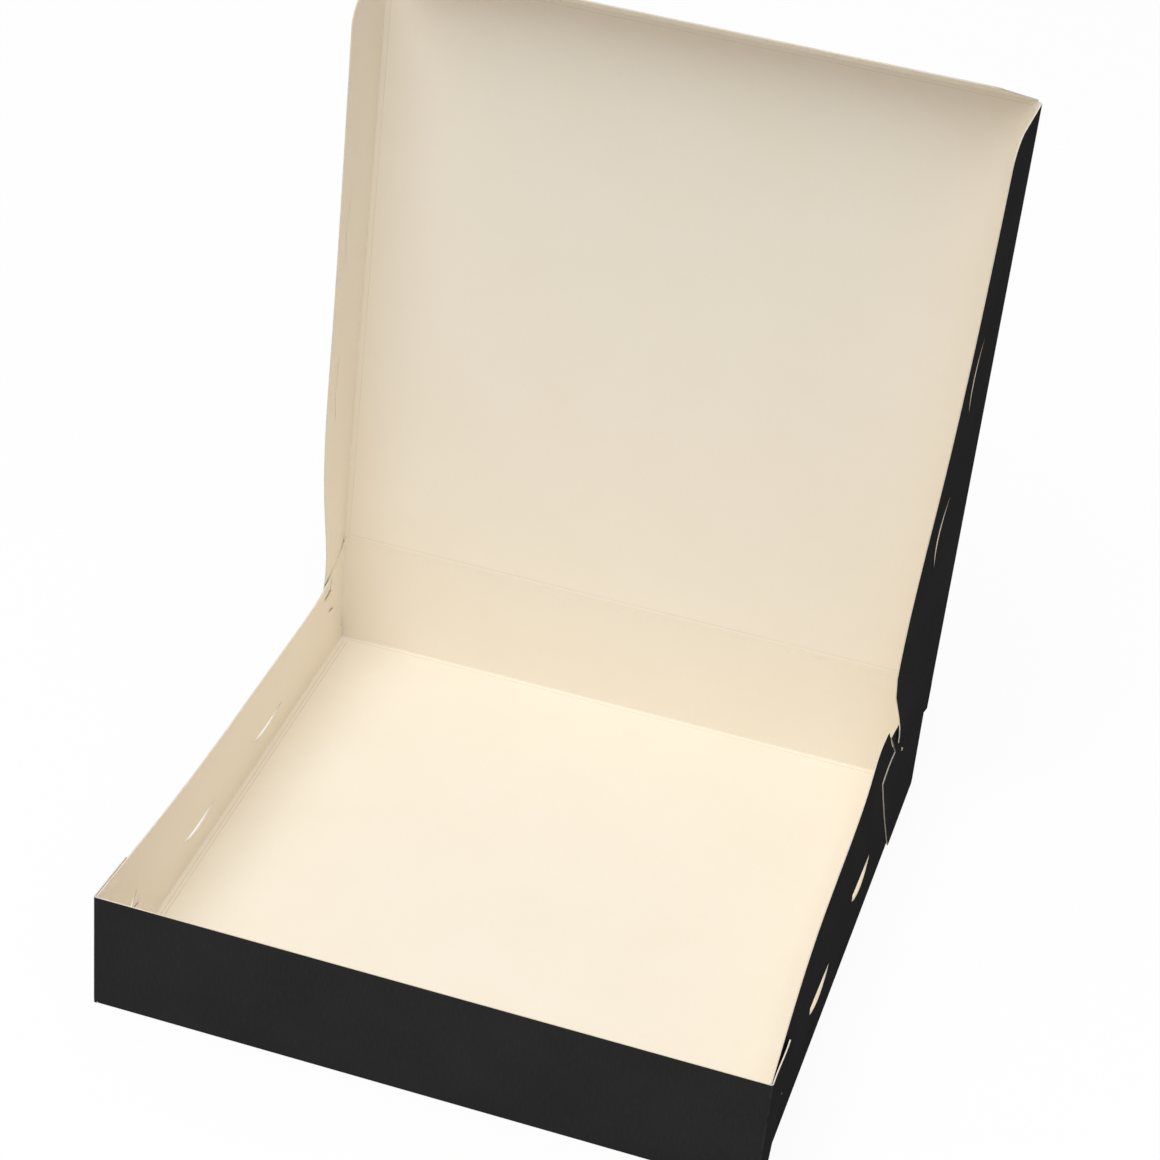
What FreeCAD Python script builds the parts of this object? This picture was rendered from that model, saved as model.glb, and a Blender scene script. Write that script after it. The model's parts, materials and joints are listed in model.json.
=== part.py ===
"""Cake box: a shallow square tray with a hinged lid, folded from one sheet of thin board.

The frame: X runs across the box, -Y is the front, +Z is up. The origin is the middle
of the underside of the tray's floor. The lid stands open, leaning back a little.

The tray's corners are closed by hook tabs: the front wall and the rear wall each end in
a tab that is folded back outside the side wall and hooked into it. The side walls lean
inwards between the corners. The lid and its three flaps turn on their creases.
"""
import FreeCAD, Part
import math
import os

import Sketcher

Vector = FreeCAD.Vector

doc = FreeCAD.newDocument("CakeBox")

# ------------------------------------------------------------------ sizes, mm and degrees

SIZES = (
    # the sheet
    ("board", 0.6, "thickness of the board"),
    ("bend_radius", 0.6, "inside radius of the tray's floor creases"),
    ("layer_gap", 0.3, "air between two layers of board that lie on each other"),
    ("crease_gap", 0.3, "air between the two sides of a crease that turns"),
    # the tray
    ("tray_width", 300, "width over the corner tabs"),
    ("tray_depth", 300, "depth over the front and rear walls"),
    ("wall_height", 60, "height of the tray's walls"),
    ("floor_gap", 0.5, "height of a corner tab's lower edge above the table"),
    # how far the side walls lean inwards, at five places from front to rear
    ("lean_front", 2.4, "a seventh of the way back"),
    ("lean_fore", 4.6, "three tenths of the way back"),
    ("lean_middle", 5.7, "half way back"),
    ("lean_aft", 6.4, "seven tenths of the way back"),
    ("lean_rear", 5.8, "six sevenths of the way back"),
    # the half-moon cuts in each side wall
    ("cut_length", 37, "length of a half-moon cut in the side wall"),
    ("cut_depth", 4.6, "depth of its lower arc"),
    ("cut_tongue", 1, "depth of the tongue's own edge, which is the upper arc"),
    ("cut_height", 21.5, "height of its two ends above the table"),
    ("cut_offset", 41, "distance of its middle from the middle of the wall"),
    # the rear end of the side wall
    ("slope_start", 52, "distance of the slope's top end from the rear face"),
    ("slope_end", 28, "distance of the slope's lower end from the rear face"),
    ("slope_height", 33, "height of the slope's lower end"),
    ("nose_start", 20.5, "distance of the nose's top end from the rear face"),
    ("nose_top", 31, "height of the nose's top end"),
    ("nose_tip", 7, "height at which the nose meets the rear wall"),
    ("nose_radius", 46, "radius of the nose"),
    # the rear wall's tab
    ("tab_foot", 54.5, "reach of the tab along its lower edge"),
    ("tab_reach", 62.5, "reach of the tab's hook"),
    ("tab_hook_height", 41.5, "height of the hook's point"),
    ("tab_edge_radius", 170, "radius of the free edge under the hook"),
    ("tab_neck", 39.5, "reach of the tab above the hook"),
    ("tab_neck_height", 44.5, "height at which the hook ends"),
    ("tab_top", 46, "reach of the tab along its top edge"),
    ("tab_drop", 3, "drop of the tab's top edge at its free end"),
    ("tab_slit_reach", 29.5, "distance of the tab's upright slit from the rear face"),
    ("tab_slit_low", 39, "height of the slit's lower end"),
    ("tab_slit_high", 55.5, "height of the slit's upper end"),
    ("tab_slit_width", 1.8, "width of the slit"),
    # the front wall's tab
    ("ear_top", 29.5, "reach of the tab along its top edge"),
    ("ear_reach", 51, "reach of the tab's ear"),
    ("ear_height", 40, "height of the ear's lower edge"),
    ("ear_neck", 32.5, "reach of the tab just under the ear"),
    ("ear_waist", 28, "reach of the tab at the tongue's lower end"),
    ("ear_foot", 20, "reach of the tab along its lower edge"),
    ("slit_top_reach", 40, "distance of the front slit's upper end from the front face"),
    ("slit_top", 35, "height of the front slit's upper end"),
    ("slit_foot_reach", 27, "distance of the front slit's lower end from the front face"),
    ("slit_foot", 12, "height of the front slit's lower end"),
    ("slit_width", 3.4, "width of the front slit at its middle"),
    ("tongue_low", 14, "height of the locking tongue's lower edge"),
    ("tongue_high", 26, "height of the locking tongue's upper edge"),
    ("tongue_length", 10, "reach of a locking tongue past its slit"),
    ("barb_low", 40.5, "height of the rear barb's lower edge"),
    ("barb_high", 48.5, "height of the rear barb's upper edge"),
    # the lid
    ("lid_lean", 3.7, "how far the open lid leans back from upright"),
    ("rim_gap", 0.4, "air between the closed lid and the tray"),
    ("side_flap", 39, "depth of the lid's side flaps"),
    ("side_flap_taper", 5, "how much shorter the side flap's free edge is at the front"),
    ("side_flap_heel", 14.5, "how far the side flap runs past the hinge along its crease"),
    ("side_flap_tail", 13, "how far its free edge runs past the hinge"),
    ("side_flap_corner", 14, "radius of the side flap's front corner"),
    ("side_cut_length", 39, "length of a half-moon cut in the side flap"),
    ("side_cut_depth", 4.2, "depth of its arc"),
    ("side_cut_width", 0.9, "width of the cut at its middle"),
    ("side_cut_inset", 24.5, "distance of its two ends from the flap's crease"),
    ("side_cut_first", 99, "distance of the first cut's middle from the hinge"),
    ("side_cut_second", 186, "distance of the second cut's middle from the hinge"),
    ("front_flap", 38, "depth of the lid's front flap"),
    ("front_flap_taper", 16, "how far each end of its free edge stands in"),
    ("front_flap_corner", 9, "radius of its two corners"),
    ("front_flap_fold", 66, "fold of the front flap from flat while the lid is open"),
    ("flap_end_gap", 1, "air between a flap's end and the corner of the lid"),
)

sheet = doc.addObject("Spreadsheet::Sheet", "Sizes")
for row, (alias, value, meaning) in enumerate(SIZES, start=1):
    sheet.set("A%d" % row, meaning)
    sheet.set("B%d" % row, str(value))
    sheet.setAlias("B%d" % row, alias)
doc.recompute()

# ------------------------------------------------------------------ derived lengths
# Each is an expression in the sheet's names, so it follows every size that it uses.

S = "Sizes."
HALF_WIDTH = "(Sizes.tray_width / 2)"
HALF_DEPTH = "(Sizes.tray_depth / 2)"
OUTER_BEND = "(Sizes.board + Sizes.bend_radius)"
SIDE_OUTER = "(Sizes.tray_width / 2 - Sizes.board - Sizes.layer_gap)"
SIDE_REACH = "(Sizes.tray_depth / 2 - Sizes.board - Sizes.layer_gap)"
FOLD_X = "(%s - %s)" % (SIDE_OUTER, OUTER_BEND)
WALL_RUN = "(Sizes.wall_height - %s)" % OUTER_BEND
BLOCK_REACH = "(Sizes.wall_height / 2)"
ABOVE = "(Sizes.wall_height + 5 * Sizes.board)"
BELOW = "(-5 * Sizes.board)"
HINGE_Y = "(Sizes.tray_depth / 2 - Sizes.board / 2)"
HINGE_Z = "(Sizes.wall_height + Sizes.rim_gap + Sizes.board / 2)"
LID_LENGTH = "(Sizes.tray_depth + Sizes.rim_gap)"
FLAP_X = "(Sizes.tray_width / 2 + Sizes.rim_gap + Sizes.board / 2)"
LEANS = (
    (0, None),
    (0.14, "lean_front"),
    (0.30, "lean_fore"),
    (0.50, "lean_middle"),
    (0.70, "lean_aft"),
    (0.84, "lean_rear"),
    (1, None),
)
ALONG_X = "rotation(vector(1; 0; 0); 90)"  # a sketch's x and y become X and Z
ALONG_Y = "rotation(vector(1; 1; 1); 120)"  # a sketch's x and y become Y and Z


def value(expression):
    """The expression's value now, in mm or degrees."""
    return float(sheet.evalExpression(expression))


# ------------------------------------------------------------------ sketch helpers


def arc_between(start, end, radius):
    """An arc from start to end. A positive radius curves to the left as it goes."""
    chord = end - start
    half = chord.Length / 2
    rise = math.sqrt(max(radius * radius - half * half, 0))
    left = Vector(-chord.y, chord.x, 0).normalize()
    centre = (start + end) / 2 + left * math.copysign(rise, radius)
    first, last = (start, end) if radius > 0 else (end, start)
    angles = [math.atan2(point.y - centre.y, point.x - centre.x) for point in (first, last)]
    if angles[1] < angles[0]:
        angles[1] += 2 * math.pi
    circle = Part.Circle(centre, Vector(0, 0, 1), abs(radius))
    return Part.ArcOfCircle(circle, angles[0], angles[1])


def hold(sketch, kind, geometry, point, expression):
    """Fixes one coordinate of a point from the sketch's origin."""
    number = sketch.addConstraint(
        Sketcher.Constraint(kind, -1, 1, geometry, point, value(expression))
    )
    sketch.setExpression("Constraints[%d]" % number, expression)


def draw_loop(sketch, corners):
    """A closed outline. Each corner is (x, y), or (x, y, radius) where an arc leaves it.

    A positive radius curves to the left on the way to the next corner.
    """
    places = [Vector(value(corner[0]), value(corner[1]), 0) for corner in corners]
    starts = []
    ends = []
    for index, corner in enumerate(corners):
        start = places[index]
        end = places[(index + 1) % len(places)]
        if len(corner) == 2:
            edge = sketch.addGeometry(Part.LineSegment(start, end))
            starts.append((edge, 1))
            ends.append((edge, 2))
            continue
        radius = value(corner[2])
        edge = sketch.addGeometry(arc_between(start, end, radius))
        number = sketch.addConstraint(Sketcher.Constraint("Radius", edge, abs(radius)))
        sketch.setExpression("Constraints[%d]" % number, "abs(%s)" % corner[2])
        starts.append((edge, 1 if radius > 0 else 2))
        ends.append((edge, 2 if radius > 0 else 1))
    for index, corner in enumerate(corners):
        edge, point = starts[index]
        hold(sketch, "DistanceX", edge, point, corner[0])
        hold(sketch, "DistanceY", edge, point, corner[1])
        last_edge, last_point = ends[index - 1]
        sketch.addConstraint(
            Sketcher.Constraint("Coincident", last_edge, last_point, edge, point)
        )


def free_sketch(name, placement, loops):
    """A sketch that stands by itself, for a Part extrusion or a loft."""
    sketch = doc.addObject("Sketcher::SketchObject", name)
    sketch.setExpression("Placement", placement)
    doc.recompute()
    for corners in loops:
        draw_loop(sketch, corners)
    return sketch


def extrude(name, placement, loops, length, both_ways=False):
    """A solid extruded from outlines, along the sketch's own normal."""
    sketch = free_sketch(name + "Outline", placement, loops)
    solid = doc.addObject("Part::Extrusion", name)
    solid.Base = sketch
    solid.DirMode = "Normal"
    solid.Solid = True
    solid.Symmetric = both_ways
    solid.setExpression("LengthFwd", length)
    return solid


def join(name, kind, parts):
    """A fusion or a common solid of several objects."""
    solid = doc.addObject(kind, name)
    solid.Shapes = parts
    return solid


def arc_radius(chord, depth):
    """The radius of an arc whose chord and depth are given."""
    return "((%s) ^ 2 / 8 / (%s) + (%s) / 2)" % (chord, depth, depth)


def half_moon(x_middle, y_ends, length, lower_depth, upper_depth):
    """A crescent between two points on one level, hanging below them."""
    left = "(%s - %s / 2)" % (x_middle, length)
    right = "(%s + %s / 2)" % (x_middle, length)
    return [
        (left, y_ends, arc_radius(length, lower_depth)),
        (right, y_ends, "-" + arc_radius(length, upper_depth)),
    ]


# ------------------------------------------------------------------ tray: floor and end walls


def floor_and_ends():
    """The floor with its front and rear walls, folded up on rounded creases."""
    outer = HALF_DEPTH
    inner = "(%s - Sizes.board)" % HALF_DEPTH
    bend = "(%s - %s)" % (HALF_DEPTH, OUTER_BEND)
    top = "Sizes.wall_height"
    folded = extrude(
        "FoldedFloor",
        "placement(vector(0; 0; 0); %s)" % ALONG_Y,
        [
            [
                ("-" + bend, "0"),
                (bend, "0", OUTER_BEND),
                (outer, OUTER_BEND),
                (outer, top),
                (inner, top),
                (inner, OUTER_BEND, "-Sizes.bend_radius"),
                (bend, "Sizes.board"),
                ("-" + bend, "Sizes.board", "-Sizes.bend_radius"),
                ("-" + inner, OUTER_BEND),
                ("-" + inner, top),
                ("-" + outer, top),
                ("-" + outer, OUTER_BEND, OUTER_BEND),
            ]
        ],
        "2 * " + FOLD_X,
        both_ways=True,
    )
    walls = [folded]
    for name, y_start in (("FrontWall", "-" + outer), ("RearWall", inner)):
        wall = doc.addObject("Part::Box", name)
        wall.setExpression("Length", "Sizes.tray_width")
        wall.setExpression("Width", "Sizes.board")
        wall.setExpression("Height", WALL_RUN)
        wall.setExpression(
            "Placement", "create(<<placement>>; vector(-%s; %s; %s); "
            "rotation(vector(0; 0; 1); 0))" % (HALF_WIDTH, y_start, OUTER_BEND)
        )
        walls.append(wall)
    return walls


# ------------------------------------------------------------------ tray: right side


def lean_stations():
    """The Y place and the lean of each section of the side wall, front to rear."""
    for number, (share, alias) in enumerate(LEANS):
        y_place = "(%s * Sizes.tray_depth - %s)" % (share, HALF_DEPTH)
        yield number, y_place, "0" if alias is None else S + alias


def leaning(lean, off_fold, up_wall):
    """A point of a section: off_fold out from the crease's centre, up_wall along the wall."""
    cosine, sine = ("cos(%s)" % lean, "sin(%s)" % lean) if lean != "0" else ("1", "0")
    x_place = "(%s + (%s) * %s - (%s) * %s)" % (FOLD_X, off_fold, cosine, up_wall, sine)
    z_place = "(%s + (%s) * %s + (%s) * %s)" % (OUTER_BEND, off_fold, sine, up_wall, cosine)
    return x_place, z_place


def side_bend():
    """The crease between the floor and the side wall, a quarter of a ring."""
    inner = "(%s + Sizes.bend_radius)" % FOLD_X
    corners = [
        (FOLD_X, "0", OUTER_BEND),
        (SIDE_OUTER, OUTER_BEND),
        (inner, OUTER_BEND, "-Sizes.bend_radius"),
        (FOLD_X, "Sizes.board"),
    ]
    placement = "placement(vector(0; 0; 0); %s)" % ALONG_X
    return extrude("SideBend", placement, [corners], "2 * " + SIDE_REACH, both_ways=True)


def side_blank():
    """The side wall before its ends and cuts are made, standing on its crease."""
    inner = "(%s + Sizes.bend_radius)" % FOLD_X
    sections = []
    for number, y_place, lean in lean_stations():
        corners = [
            (inner, OUTER_BEND),
            (SIDE_OUTER, OUTER_BEND),
            leaning(lean, OUTER_BEND, WALL_RUN),
            leaning(lean, "Sizes.bend_radius", WALL_RUN),
        ]
        placement = "placement(vector(0; %s; 0); %s)" % (y_place, ALONG_X)
        sections.append(free_sketch("SideSection%d" % number, placement, [corners]))
    return loft("SideBlank", sections)


def tab_blank():
    """The layer outside the side wall that both corner tabs are cut from."""
    inner = "(%s + Sizes.layer_gap)" % OUTER_BEND
    outer = "(%s + Sizes.layer_gap + Sizes.board)" % OUTER_BEND
    foot = "(Sizes.floor_gap - %s)" % OUTER_BEND
    sections = []
    for number, y_place, lean in lean_stations():
        corners = [
            leaning(lean, inner, foot),
            leaning(lean, outer, foot),
            leaning(lean, outer, WALL_RUN),
            leaning(lean, inner, WALL_RUN),
        ]
        placement = "placement(vector(0; %s; 0); %s)" % (y_place, ALONG_X)
        sections.append(free_sketch("TabSection%d" % number, placement, [corners]))
    return loft("TabBlank", sections)


def loft(name, sections):
    """A smooth solid through sections that stand one behind another."""
    solid = doc.addObject("Part::Loft", name)
    solid.Sections = sections
    solid.Solid = True
    solid.Ruled = False
    return solid


def from_front(distance):
    """The Y place at a distance behind the front face."""
    return "(Sizes.%s - %s)" % (distance, HALF_DEPTH)


def from_rear(distance):
    """The Y place at a distance before the rear face."""
    return "(%s - Sizes.%s)" % (HALF_DEPTH, distance)


def side_block(name, loops):
    """A block through the right side, cut to outlines drawn on the YZ plane."""
    placement = "placement(vector(%s - %s; 0; 0); %s)" % (HALF_WIDTH, BLOCK_REACH, ALONG_Y)
    return extrude(name, placement, loops, "2 * " + BLOCK_REACH)


def side_wall():
    """The right side wall: its sloped and rounded rear end, two half-moon cuts and a slit."""
    # the slope is carried on past the wall's top edge, so that it cuts right through
    rise = "((%s - Sizes.slope_height) / (Sizes.wall_height - Sizes.slope_height))" % ABOVE
    crest = "(%s - Sizes.slope_end - (Sizes.slope_start - Sizes.slope_end) * %s)"
    outline = [
        ("-" + SIDE_REACH, BELOW),
        (SIDE_REACH, BELOW),
        (SIDE_REACH, "Sizes.nose_tip", "Sizes.nose_radius"),
        (from_rear("nose_start"), "Sizes.nose_top"),
        (from_rear("slope_end"), "Sizes.slope_height"),
        (crest % (HALF_DEPTH, rise), ABOVE),
        ("-" + SIDE_REACH, ABOVE),
    ]
    loops = [outline]
    for side in ("-", ""):
        loops.append(
            half_moon(
                "(%sSizes.cut_offset)" % side,
                "Sizes.cut_height",
                "Sizes.cut_length",
                "Sizes.cut_depth",
                "Sizes.cut_tongue",
            )
        )
    slant = "sqrt((Sizes.slit_top_reach - Sizes.slit_foot_reach) ^ 2"
    slant += " + (Sizes.slit_top - Sizes.slit_foot) ^ 2)"
    curve = arc_radius(slant, "Sizes.slit_width / 2")
    loops.append(
        [
            (from_front("slit_foot_reach"), "Sizes.slit_foot", curve),
            (from_front("slit_top_reach"), "Sizes.slit_top", curve),
        ]
    )
    return join("SideWall", "Part::MultiCommon", [side_blank(), side_block("SideBlock", loops)])


def corner_tabs():
    """The rear wall's tab with its hook and slit, and the front wall's tab with its ear."""
    rear_tab = [
        (HALF_DEPTH, BELOW),
        (HALF_DEPTH, ABOVE),
        (from_rear("board"), "Sizes.wall_height"),
        (from_rear("tab_top"), "(Sizes.wall_height - Sizes.tab_drop)"),
        (from_rear("tab_neck"), "Sizes.tab_neck_height"),
        (from_rear("tab_reach"), "Sizes.tab_hook_height", "-Sizes.tab_edge_radius"),
        (from_rear("tab_foot"), "0"),
        (from_rear("tab_foot"), BELOW),
    ]
    slit_start = "(%s - Sizes.tab_slit_reach - Sizes.tab_slit_width / 2)" % HALF_DEPTH
    slit_end = "(%s - Sizes.tab_slit_reach + Sizes.tab_slit_width / 2)" % HALF_DEPTH
    rear_slit = [
        (slit_start, "Sizes.tab_slit_low"),
        (slit_end, "Sizes.tab_slit_low"),
        (slit_end, "Sizes.tab_slit_high"),
        (slit_start, "Sizes.tab_slit_high"),
    ]
    front_tab = [
        ("-" + HALF_DEPTH, BELOW),
        (from_front("ear_foot"), BELOW),
        (from_front("ear_foot"), "Sizes.floor_gap"),
        (from_front("ear_waist"), "Sizes.tongue_low"),
        (from_front("ear_neck"), "Sizes.tongue_high"),
        (from_front("ear_neck"), "Sizes.ear_height"),
        (from_front("ear_reach"), "Sizes.ear_height"),
        (from_front("ear_top"), "Sizes.wall_height"),
        (from_front("ear_top"), ABOVE),
        ("-" + HALF_DEPTH, ABOVE),
    ]
    blocks = side_block("TabBlock", [rear_tab, rear_slit, front_tab])
    return join("CornerTabs", "Part::MultiCommon", [tab_blank(), blocks])


def strip(name, centres, low, high):
    """An upright strip of board that follows a line seen from above.

    Each centre is (x, y); the strip is as thick as the board across X.
    """
    half = "Sizes.board / 2"
    loop = [("(%s + %s)" % (x_place, half), y_place) for x_place, y_place in centres]
    loop += [("(%s - %s)" % (x_place, half), y_place) for x_place, y_place in centres[::-1]]
    placement = "placement(vector(0; 0; Sizes.%s); rotation(vector(0; 0; 1); 0))" % low
    return extrude(name, placement, [loop], "Sizes.%s - Sizes.%s" % (high, low))


def layer(number, lean, height):
    """The X place of the middle of a layer: 0 the side wall, 1 outside it, -1 inside it."""
    step = "(Sizes.board + Sizes.layer_gap)"
    middle = "(%s - Sizes.board / 2)" % SIDE_OUTER
    return "(%s + %s * %s - (%s) * sin(%s))" % (middle, number, step, height, lean)


def front_tongue():
    """The tongue of the front tab, which goes through the slit to the inside."""
    height = "(Sizes.tongue_low + Sizes.tongue_high) / 2"
    share = "((%s - Sizes.slit_foot) / (Sizes.slit_top - Sizes.slit_foot))" % height
    slit_y = "(Sizes.slit_foot_reach + (Sizes.slit_top_reach - Sizes.slit_foot_reach) * %s - %s)"
    slit_y = slit_y % (share, HALF_DEPTH)
    outside = layer(1, "Sizes.lean_front * 0.8", height)
    inside = layer(-1, "Sizes.lean_front", height)
    centres = [
        (outside, "(%s - 2 * Sizes.slit_width)" % slit_y),
        (outside, "(%s - Sizes.slit_width / 2)" % slit_y),
        (inside, "(%s + Sizes.slit_width / 2)" % slit_y),
        (inside, "(%s + Sizes.tongue_length)" % slit_y),
    ]
    return strip("FrontTongue", centres, "tongue_low", "tongue_high")


def rear_barb():
    """The barb of the side wall's sloped end, which goes out through the rear tab's slit."""
    height = "(Sizes.barb_low + Sizes.barb_high) / 2"
    slit_y = from_rear("tab_slit_reach")
    quarter = "Sizes.tab_slit_width / 4"
    root = layer(0, "Sizes.lean_rear", height)
    inside = layer(0, "Sizes.lean_rear * 0.76", height)
    outside = layer(2, "Sizes.lean_rear * 0.7", height)
    end = layer(2, "Sizes.lean_rear * 0.55", height)
    centres = [
        (root, "(%s - Sizes.slope_start + Sizes.tab_slit_width)" % HALF_DEPTH),
        (inside, "(%s - %s)" % (slit_y, quarter)),
        (outside, "(%s + %s)" % (slit_y, quarter)),
        (end, "(%s + Sizes.tongue_length)" % slit_y),
    ]
    return strip("RearBarb", centres, "barb_low", "barb_high")


def tray():
    """The whole folded tray, one sheet: floor, four walls and the hooked corner tabs."""
    right = join(
        "RightSide",
        "Part::MultiFuse",
        [side_bend(), side_wall(), corner_tabs(), front_tongue(), rear_barb()],
    )
    left = doc.addObject("Part::Mirroring", "LeftSide")
    left.Source = right
    left.Normal = Vector(1, 0, 0)
    whole = join("Tray", "Part::MultiFuse", floor_and_ends() + [right, left])
    whole.Label = "tray"
    return whole


# ------------------------------------------------------------------ lid and flaps


def origin_plane(body, role):
    """The body's own origin plane of the given role."""
    return next(plane for plane in body.Origin.OriginFeatures if plane.Role == role)


def body_sketch(body, name, role, loops):
    """A sketch on one of the body's origin planes."""
    sketch = body.newObject("Sketcher::SketchObject", name)
    sketch.AttachmentSupport = (origin_plane(body, role), [""])
    sketch.MapMode = "FlatFace"
    doc.recompute()
    for corners in loops:
        draw_loop(sketch, corners)
    return sketch


def panel(name, label, placement, outline, cuts):
    """A flat panel in its own XZ plane, rounded where it turns on its crease.

    The outline's second corner to first corner is the crease, at z = 0. The board is
    centred on the plane, and the crease's axis is the X axis.
    """
    body = doc.addObject("PartDesign::Body", name)
    body.Label = label
    body.setExpression("Placement", placement)
    face = body_sketch(body, name + "Outline", "XZ_Plane", [outline])
    pad = body.newObject("PartDesign::Pad", name + "Sheet")
    pad.Profile = face
    pad.Midplane = True
    pad.setExpression("Length", "Sizes.board")
    body.Tip = pad
    doc.recompute()
    if cuts:
        uncut = body.Shape.Volume
        slits = body_sketch(body, name + "Cuts", "XZ_Plane", cuts)
        pocket = body.newObject("PartDesign::Pocket", name + "Slits")
        pocket.Profile = slits
        pocket.Midplane = True
        pocket.Type = "ThroughAll"
        body.Tip = pocket
        doc.recompute()
        assert body.Shape.Volume < uncut, name + " has no slits"
    return body


def rounded_crease(body, name):
    """Rounds the two long edges at the crease, so the panel turns in its own thickness."""
    low = [
        "Edge%d" % (number + 1)
        for number, edge in enumerate(body.Shape.Edges)
        if is_crease_edge(edge, body.Placement.inverse())
    ]
    square = body.Tip
    fillet = body.newObject("PartDesign::Fillet", name + "Crease")
    fillet.Base = (square, low)
    fillet.setExpression("Radius", "Sizes.board * 0.49")
    body.Tip = fillet
    doc.recompute()
    return body


def is_crease_edge(edge, to_local):
    """True for an edge that runs along the crease, at the panel's lower end."""
    points = [to_local.multVec(vertex.Point) for vertex in edge.Vertexes]
    if len(points) < 2:
        return False
    flat = all(point.z < value("0 - Sizes.board / 4") for point in points)
    return flat and abs(points[0].x - points[1].x) > value("Sizes.front_flap")


LID_PLACE = "placement(vector(0; %s; %s); rotation(vector(1; 0; 0); -Sizes.lid_lean))" % (
    HINGE_Y,
    HINGE_Z,
)
CREASE = "(-Sizes.board / 2)"  # a panel starts half a board below its crease's axis
PANEL_EDGE = "(%s - Sizes.board / 2 - Sizes.crease_gap)"


def lid():
    """The lid's panel, from the hinge crease to the front crease."""
    edge = PANEL_EDGE % FLAP_X
    far = PANEL_EDGE % LID_LENGTH
    outline = [("-" + edge, CREASE), (edge, CREASE), (edge, far), ("-" + edge, far)]
    return rounded_crease(panel("Lid", "lid", LID_PLACE, outline, []), "Lid")


def front_flap():
    """The lid's front flap, with drawn-in ends and round corners."""
    half = "(%s - Sizes.flap_end_gap)" % HALF_WIDTH
    depth = "Sizes.front_flap"
    corner = "Sizes.front_flap_corner"
    tip = "(%s - Sizes.front_flap_taper)" % half
    # the corner's arc starts on the slanting end and ends on the free edge
    lean = "(Sizes.front_flap_taper / Sizes.front_flap)"
    start = ("(%s + %s * %s)" % (tip, corner, lean), "(%s - %s)" % (depth, corner))
    outline = [
        ("-" + half, CREASE),
        (half, CREASE),
        start + (corner,),
        ("(%s - %s / 2)" % (tip, corner), depth),
        ("(-(%s - %s / 2))" % (tip, corner), depth, corner),
        ("(-%s)" % start[0], start[1]),
    ]
    place = "Lid.Placement * placement(vector(0; 0; %s); " % LID_LENGTH
    place += "rotation(vector(1; 0; 0); Sizes.front_flap_fold))"
    return rounded_crease(panel("FrontFlap", "lid_front_flap", place, outline, []), "FrontFlap")


def side_flap(name, label, hand):
    """One of the lid's side flaps, folded square to the lid. hand is -1 left or 1 right.

    The panel's own x runs along the crease, from the hinge to the lid's free edge.
    """
    far = "(%s - Sizes.board - Sizes.crease_gap)" % LID_LENGTH
    depth = "Sizes.side_flap"
    corner = "Sizes.side_flap_corner"
    tip = "(%s - Sizes.side_flap_taper)" % far
    start = "(%s + Sizes.side_flap_taper * %s / %s)" % (tip, corner, depth)
    outline = [
        ("(-Sizes.side_flap_heel)", CREASE),
        (far, CREASE),
        (start, "(%s - %s)" % (depth, corner), corner),
        ("(%s - %s * 0.9)" % (tip, corner), depth),
        ("(-Sizes.side_flap_tail)", depth),
    ]
    length = "Sizes.side_cut_length"
    inner_arc = arc_radius(length, "(Sizes.side_cut_depth - Sizes.side_cut_width)")
    outer_arc = arc_radius(length, "Sizes.side_cut_depth")
    cuts = []
    for middle in ("Sizes.side_cut_first", "Sizes.side_cut_second"):
        first = "(%s - %s / 2)" % (middle, length)
        last = "(%s + %s / 2)" % (middle, length)
        inset = "Sizes.side_cut_inset"
        cuts.append([(first, inset, "-" + outer_arc), (last, inset, inner_arc)])
    # the panel's x, y and z become the lid's z, -x and -y
    place = "Lid.Placement * placement(vector(%d * %s; 0; 0); " % (hand, FLAP_X)
    place += "rotation(vector(1; -1; 1); 120))"
    return rounded_crease(panel(name, label, place, outline, cuts), name)


# ------------------------------------------------------------------ build, check, write

PARTS = [
    tray(),
    lid(),
    front_flap(),
    side_flap("LeftFlap", "lid_left_flap", -1),
    side_flap("RightFlap", "lid_right_flap", 1),
]
doc.recompute()

for item in doc.Objects:
    assert not {"Invalid", "Error"} & set(item.State), "%s: %s" % (item.Name, item.State)

for part in PARTS:
    assert not part.Shape.isNull(), part.Label + " is empty"
    assert part.Shape.isValid(), part.Label + " is not valid"
    assert len(part.Shape.Solids) == 1, part.Label + " is not one piece"

os.makedirs("parts", exist_ok=True)
for part in PARTS:
    part.Shape.exportStep("parts/%s.step" % part.Label)
    box = part.Shape.BoundBox
    print(
        "%-16s volume %9.1f mm3  x %.2f..%.2f  y %.2f..%.2f  z %.2f..%.2f"
        % (
            part.Label,
            part.Shape.Volume,
            box.XMin,
            box.XMax,
            box.YMin,
            box.YMax,
            box.ZMin,
            box.ZMax,
        )
    )
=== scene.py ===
"""The looks of a cake box: a shallow tray and a hinged lid, folded from one sheet of board.

Every visible piece is a flat blank that is cut into triangles, folded into its place by a
rule, and then given the board's thickness by a geometry node tree. The places come from the
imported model: its boxes and its joints. Lengths are in metres.
"""

import json
import logging
import math
from collections.abc import Callable, Iterable, Iterator, Sequence
from dataclasses import dataclass, field
from enum import Enum
from typing import Any

import bpy
import numpy as np
from mathutils import Euler, Matrix, Vector
from mathutils.geometry import delaunay_2d_cdt

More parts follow.
